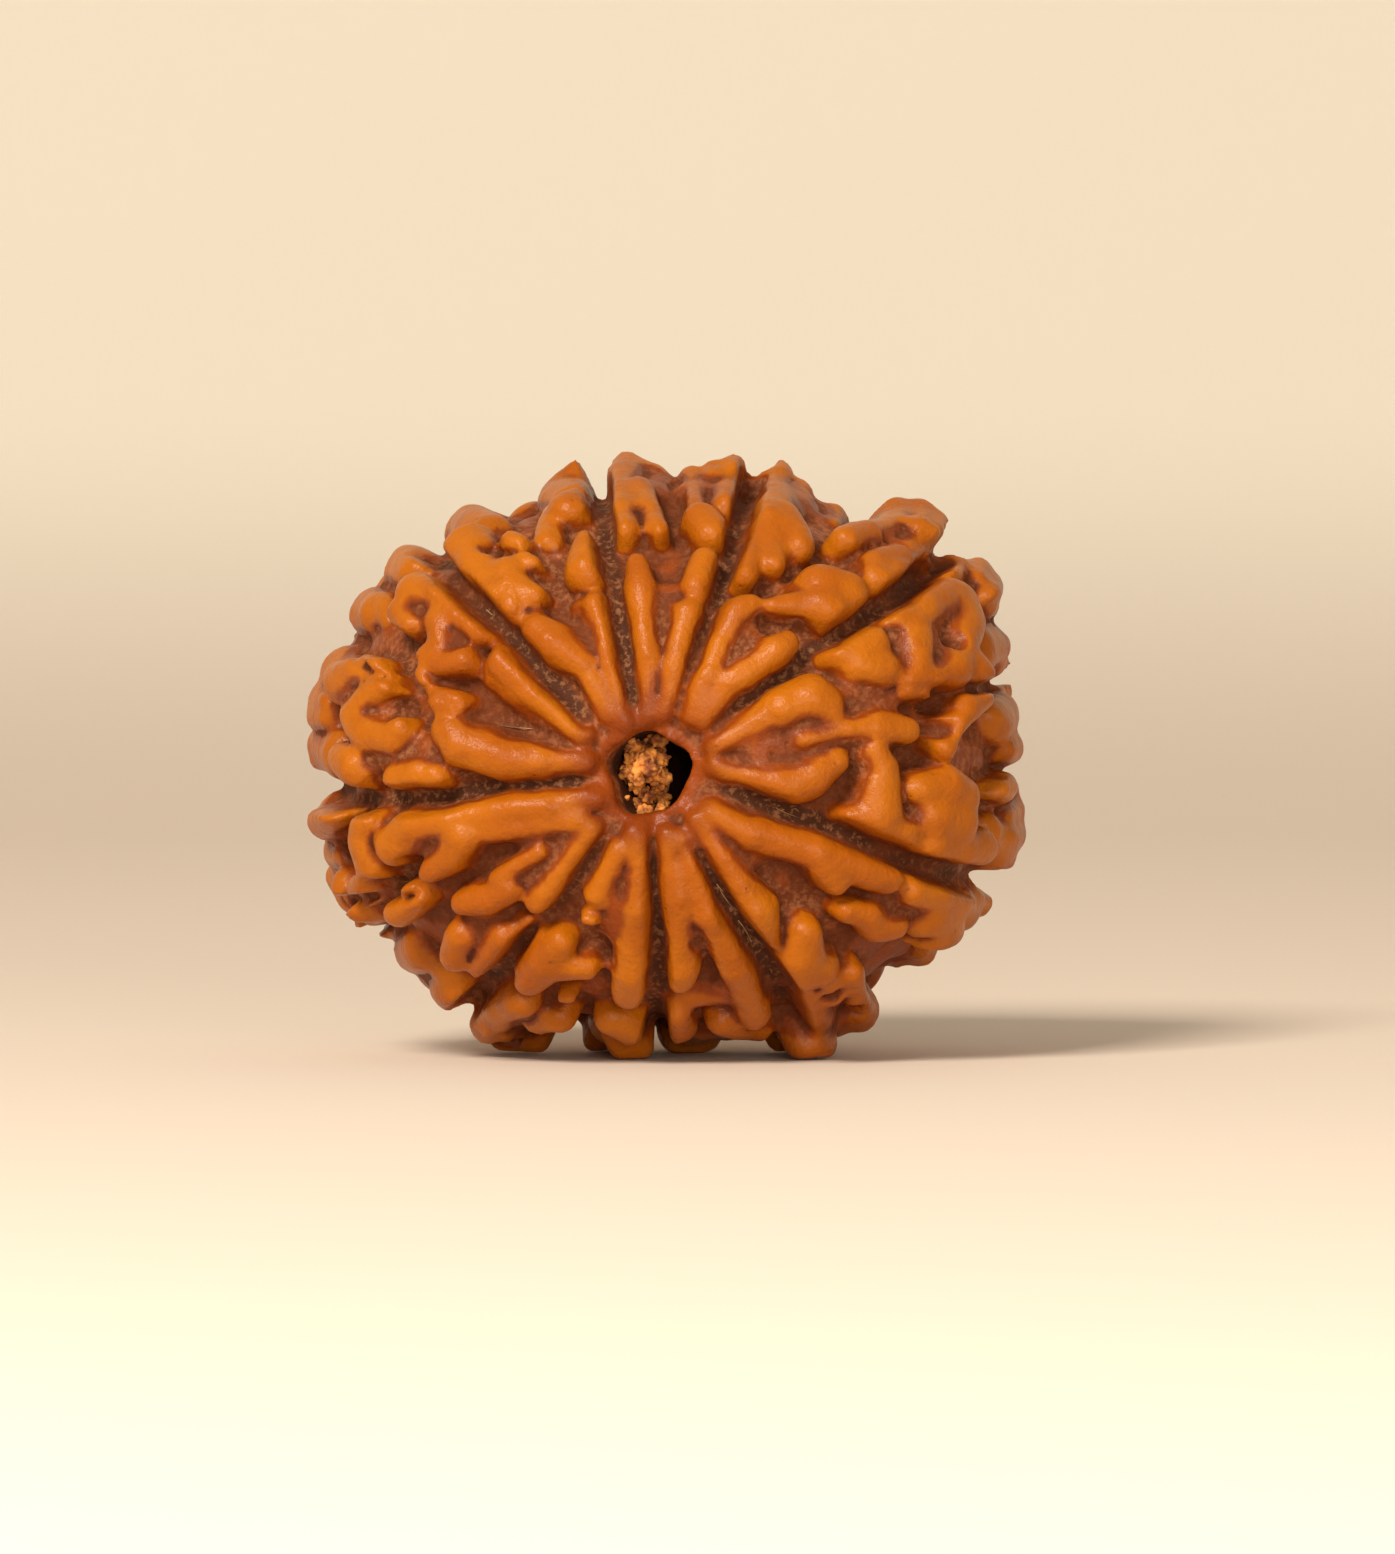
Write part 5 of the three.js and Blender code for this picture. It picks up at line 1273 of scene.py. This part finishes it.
class HuskFibres:
    """Dry fibres of the husk, left in the furrows."""

    THICKEST = 0.065 * MM
    # They end before the rim, this share of the way along a furrow
    LAST_SHARE = 0.84
    # Places where more fibres stick together, as x, z and half size in millimetres
    TUFTS = ((-10.4, 15.2, 0.8), (-9.6, 11.0, 0.7), (10.4, 14.4, 0.7), (9.9, 12.6, 0.6), (5.4, 10.4, 0.6))

    def __init__(self, skin: StoneSkin, draw: random.Random) -> None:
        """Keeps the skin that they lie on and the source of chance."""
        self.skin = skin
        self.draw = draw

    def _spot(self, place: Vector, lift: float) -> Vector:
        """Gives a place of the drawing, a lift above the body, in metres on the fitted stone."""
        body = self.skin.form.body
        point = body.front(place.x, place.y, lift)
        inward = min(1.0, (1 + lift / body.mean_radius) / float(body.gauge(point)))
        return self.skin.place(np.array(body.centre) + (point - np.array(body.centre)) * inward)

    def build(self) -> bpy.types.Object:
        """Makes all fibres as one piece."""
        curve = bpy.data.curves.new(Piece.FIBRES.value, "CURVE")
        curve.dimensions = "3D"
        curve.bevel_depth = self.THICKEST
        curve.bevel_resolution = 1
        curve.use_fill_caps = True
        for furrow in FURROWS:
            for _ in range(7):
                self._add_along(curve, furrow)
        for tuft in self.TUFTS:
            for _ in range(9):
                self._add_in_tuft(curve, *tuft)
        fibres = bpy.data.objects.new(Piece.FIBRES.value, curve)
        bpy.context.scene.collection.objects.link(fibres)
        select_only(fibres)
        bpy.ops.object.convert(target="MESH")
        fibres = named(Piece.FIBRES.value)
        fibres.data.materials.clear()
        fibres.data.materials.append(
            fibre_material("husk_fibre", tone(168, 120, 78), tone(92, 58, 34), 900)
        )
        shade_smooth(fibres)
        return fibres

    def _add_fibre(self, curve: bpy.types.Curve, path: Sequence[Vector], radius: float) -> None:
        """Adds one fibre, tapered at both ends.

        Args:
            curve: The curve to add it to.
            path: The points of its middle line, in metres.
            radius: Its thickest radius, in metres.
        """
        spline = curve.splines.new("POLY")
        spline.points.add(len(path) - 1)
        for index, place in enumerate(path):
            taper = 0.35 + 0.65 * math.sin(math.pi * (index + 0.5) / len(path)) ** 0.5
            spline.points[index].co = (*place, 1.0)
            spline.points[index].radius = taper * radius / self.THICKEST

    def _add_along(self, curve: bpy.types.Curve, furrow: Sequence[Sequence[float]]) -> None:
        """Lays one fibre along a furrow's bottom."""
        draw = self.draw
        start = draw.uniform(0.02, 0.65)
        length = draw.uniform(0.12, 0.5)
        offset = draw.uniform(-0.12, 0.12)
        phase = draw.uniform(0, 6.28)
        lift_start, lift_end = draw.uniform(-0.05, 0.3), draw.uniform(-0.35, 0.3)
        path = []
        for step in range(15):
            share = min(self.LAST_SHARE, start + length * step / 14)
            place = along(furrow, share)
            ahead = along(furrow, share + 0.02) - along(furrow, max(0.0, share - 0.02))
            side = Vector((-ahead.y, ahead.x)).normalized()
            place += side * (offset + 0.07 * math.sin(phase + step * 0.5))
            lift = lift_start + (lift_end - lift_start) * share + 0.07 * math.sin(phase * 2 + step * 0.55)
            path.append(self._spot(place, lift))
        self._add_fibre(curve, path, draw.uniform(0.018, 0.042) * MM)

    def _add_in_tuft(self, curve: bpy.types.Curve, x: float, z: float, size: float) -> None:
        """Lays one bent fibre across a tuft."""
        draw = self.draw
        centre = Vector((x + draw.uniform(-size, size) * 0.6, z + draw.uniform(-size, size) * 0.6))
        turn = draw.uniform(0, math.pi)
        reach = draw.uniform(0.4, 1.0) * size
        bend = draw.uniform(-0.5, 0.5)
        sink = draw.uniform(0.0, 0.5)
        path = []
        for step in range(9):
            share = step / 4 - 1
            place = centre + Vector((math.cos(turn), math.sin(turn))) * reach * share
            place += Vector((-math.sin(turn), math.cos(turn))) * bend * reach * share * share
            path.append(self._spot(place, -sink + 0.15 * share * share))
        self._add_fibre(curve, path, draw.uniform(0.03, 0.065) * MM)


class ChannelPith:
    """Crumbs of dried pith that cling to the left wall of the channel's mouth."""

    FRONT_Y = -9.2 * MM
    RIGHT_END = -0.1 * MM
    # Hollows between the crumbs, as x, z and radius in metres
    HOLLOWS = ((-2.05 * MM, 12.8 * MM, 0.5 * MM), (-2.1 * MM, 11.8 * MM, 0.44 * MM))

    def __init__(self, draw: random.Random) -> None:
        """Keeps the source of chance."""
        self.draw = draw

    def build(self) -> bpy.types.Object:
        """Makes the crumbs as one piece."""
        crumbs = [self._add_crumb() for _ in range(95)]
        bpy.ops.object.select_all(action="DESELECT")
        for crumb in crumbs:
            crumb.select_set(True)
        bpy.ops.object.join()
        pith = named(Piece.PITH.value)
        pith.data.materials.append(fibre_material("dried_pith", tone(222, 140, 58), tone(120, 58, 22), 1800))
        shade_smooth(pith)
        return pith

    def _add_crumb(self) -> bpy.types.Object:
        """Adds one uneven crumb against the channel's wall."""
        draw = self.draw
        radius = draw.uniform(0.1, 0.34) * MM
        while True:
            turn = draw.uniform(0, 2 * math.pi)
            out = 1.55 * MM * math.sqrt(draw.random())
            x = CHANNEL_FRONT[0] * MM + out * math.cos(turn)
            z = CHANNEL_FRONT[1] * MM + out * math.sin(turn)
            hollow = any(math.hypot(x - hx, z - hz) < size + radius * 0.4 for hx, hz, size in self.HOLLOWS)
            if x < self.RIGHT_END and not hollow:
                break
        near_middle = 1 - min(1.0, math.hypot(x + 1.0 * MM, z - 12.4 * MM) / (0.9 * MM))
        back = draw.uniform(0.1, 1.3) * MM - near_middle * 0.9 * MM
        place = Vector((x, self.FRONT_Y + back, z))
        bpy.ops.mesh.primitive_ico_sphere_add(subdivisions=3, radius=radius, calc_uvs=False)
        crumb = bpy.context.object
        offset = Vector((draw.uniform(-9, 9), draw.uniform(-9, 9), draw.uniform(-9, 9)))
        for vertex in crumb.data.vertices:
            bulge = 1 + 0.9 * noise.noise(vertex.co / (0.2 * MM) + offset)
            bulge += 0.35 * noise.noise(vertex.co / (0.07 * MM) + offset)
            vertex.co = place + vertex.co * bulge
        return crumb


class Studio:
    """The floor, the lights and the camera."""

    def __init__(self, low: Vector, high: Vector) -> None:
        """Keeps the object's box.

        Args:
            low: Its lowest corner.
            high: Its highest corner.
        """
        self.low = low
        self.high = high

    def build(self) -> None:
        """Adds all of it to the scene."""
        self._floor()
        self._lamps()
        self._world()
        self._camera()

    def _floor(self) -> None:
        """Adds a pale floor that curves up into a wall far behind."""
        half_width, back, bend, steps = 1.6, 0.2, 0.35, 16
        bpy.ops.object.select_all(action="DESELECT")
        bpy.ops.mesh.primitive_plane_add(size=2 * half_width, calc_uvs=False)
        floor = named(Piece.FLOOR.value)
        for vertex in floor.data.vertices:
            vertex.select = vertex.co.y > 0
            vertex.co.y = back if vertex.select else -1.0
        for edge in floor.data.edges:
            edge.select = all(floor.data.vertices[corner].select for corner in edge.vertices)
        floor.data.polygons[0].select = False
        bpy.ops.object.mode_set(mode="EDIT")
        turn = math.pi / 2 / steps
        for step in range(steps):
            angle = (step + 0.5) * turn
            move = (0, bend * turn * math.cos(angle), bend * turn * math.sin(angle))
            bpy.ops.mesh.extrude_region_move(TRANSFORM_OT_translate={"value": move})
        bpy.ops.mesh.extrude_region_move(TRANSFORM_OT_translate={"value": (0, 0, bend * 2)})
        bpy.ops.object.mode_set(mode="OBJECT")
        graph = NodeGraph("pale_floor")
        height = graph.add("ShaderNodeSeparateXYZ", Vector=graph.coordinates()).outputs["Z"]
        colour = graph.mix(graph.span(height, 0.0, 0.02), tone(226, 210, 196), tone(255, 244, 228))
        graph.link(colour, graph.shader.inputs["Base Color"])
        graph.shader.inputs["Roughness"].default_value = 0.9
        graph.shader.inputs["Specular IOR Level"].default_value = 0.1
        graph.clear_from_behind()
        floor.data.materials.append(graph.material)
        shade_smooth(floor)

    def _lamps(self) -> None:
        """Hangs the soft lights, turned to the stone."""
        middle = (self.low + self.high) / 2
        for lamp in LAMPS:
            data = bpy.data.lights.new(lamp.name, type="AREA")
            data.energy = lamp.watts
            data.size = lamp.size
            data.color = lamp.colour
            obj = bpy.data.objects.new(lamp.name, data)
            bpy.context.scene.collection.objects.link(obj)
            obj.location = lamp.place
            obj.rotation_euler = (middle - Vector(lamp.place)).to_track_quat("-Z", "Y").to_euler()

    def _world(self) -> None:
        """Fills the room with even warm light."""
        world = bpy.data.worlds.new("soft_room")
        world.use_nodes = True
        background = world.node_tree.nodes["Background"]
        background.inputs["Color"].default_value = WORLD_COLOUR
        background.inputs["Strength"].default_value = WORLD_STRENGTH
        bpy.context.scene.world = world
        bpy.context.scene.view_settings.view_transform = "Standard"

    def _camera(self) -> None:
        """Looks along the channel from nearly level, through a long lens."""
        distance = 0.9
        elevation = math.radians(2.5)
        width = IMAGE_WIDTH / PIXELS_PER_MM * MM
        target = Vector((1.29 * MM, 0.0, 11.67 * MM))
        back = Vector((0.0, -math.cos(elevation), math.sin(elevation)))
        data = bpy.data.cameras.new("camera")
        data.sensor_fit = "HORIZONTAL"
        data.sensor_width = 36.0
        data.lens = data.sensor_width * distance / width
        data.clip_start = 0.01
        data.clip_end = 20.0
        camera = bpy.data.objects.new("camera", data)
        bpy.context.scene.collection.objects.link(camera)
        camera.location = target + back * distance
        camera.rotation_euler = (-back).to_track_quat("-Z", "Y").to_euler()
        bpy.context.scene.camera = camera


def main() -> None:
    """Builds the whole scene."""
    logging.basicConfig(level=logging.INFO)
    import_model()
    draw = random.Random(SEED)

    stone = StoneSkin(StoneForm(STONE_BODY), FULL_PLAN)
    skin = stone.build()
    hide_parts(NODE)
    pieces = [skin, HuskFibres(stone, draw).build(), ChannelPith(draw).build()]
    for piece in pieces:
        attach(piece, BODY)
    Studio(*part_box(NODE)).build()


if __name__ == "__main__":
    main()
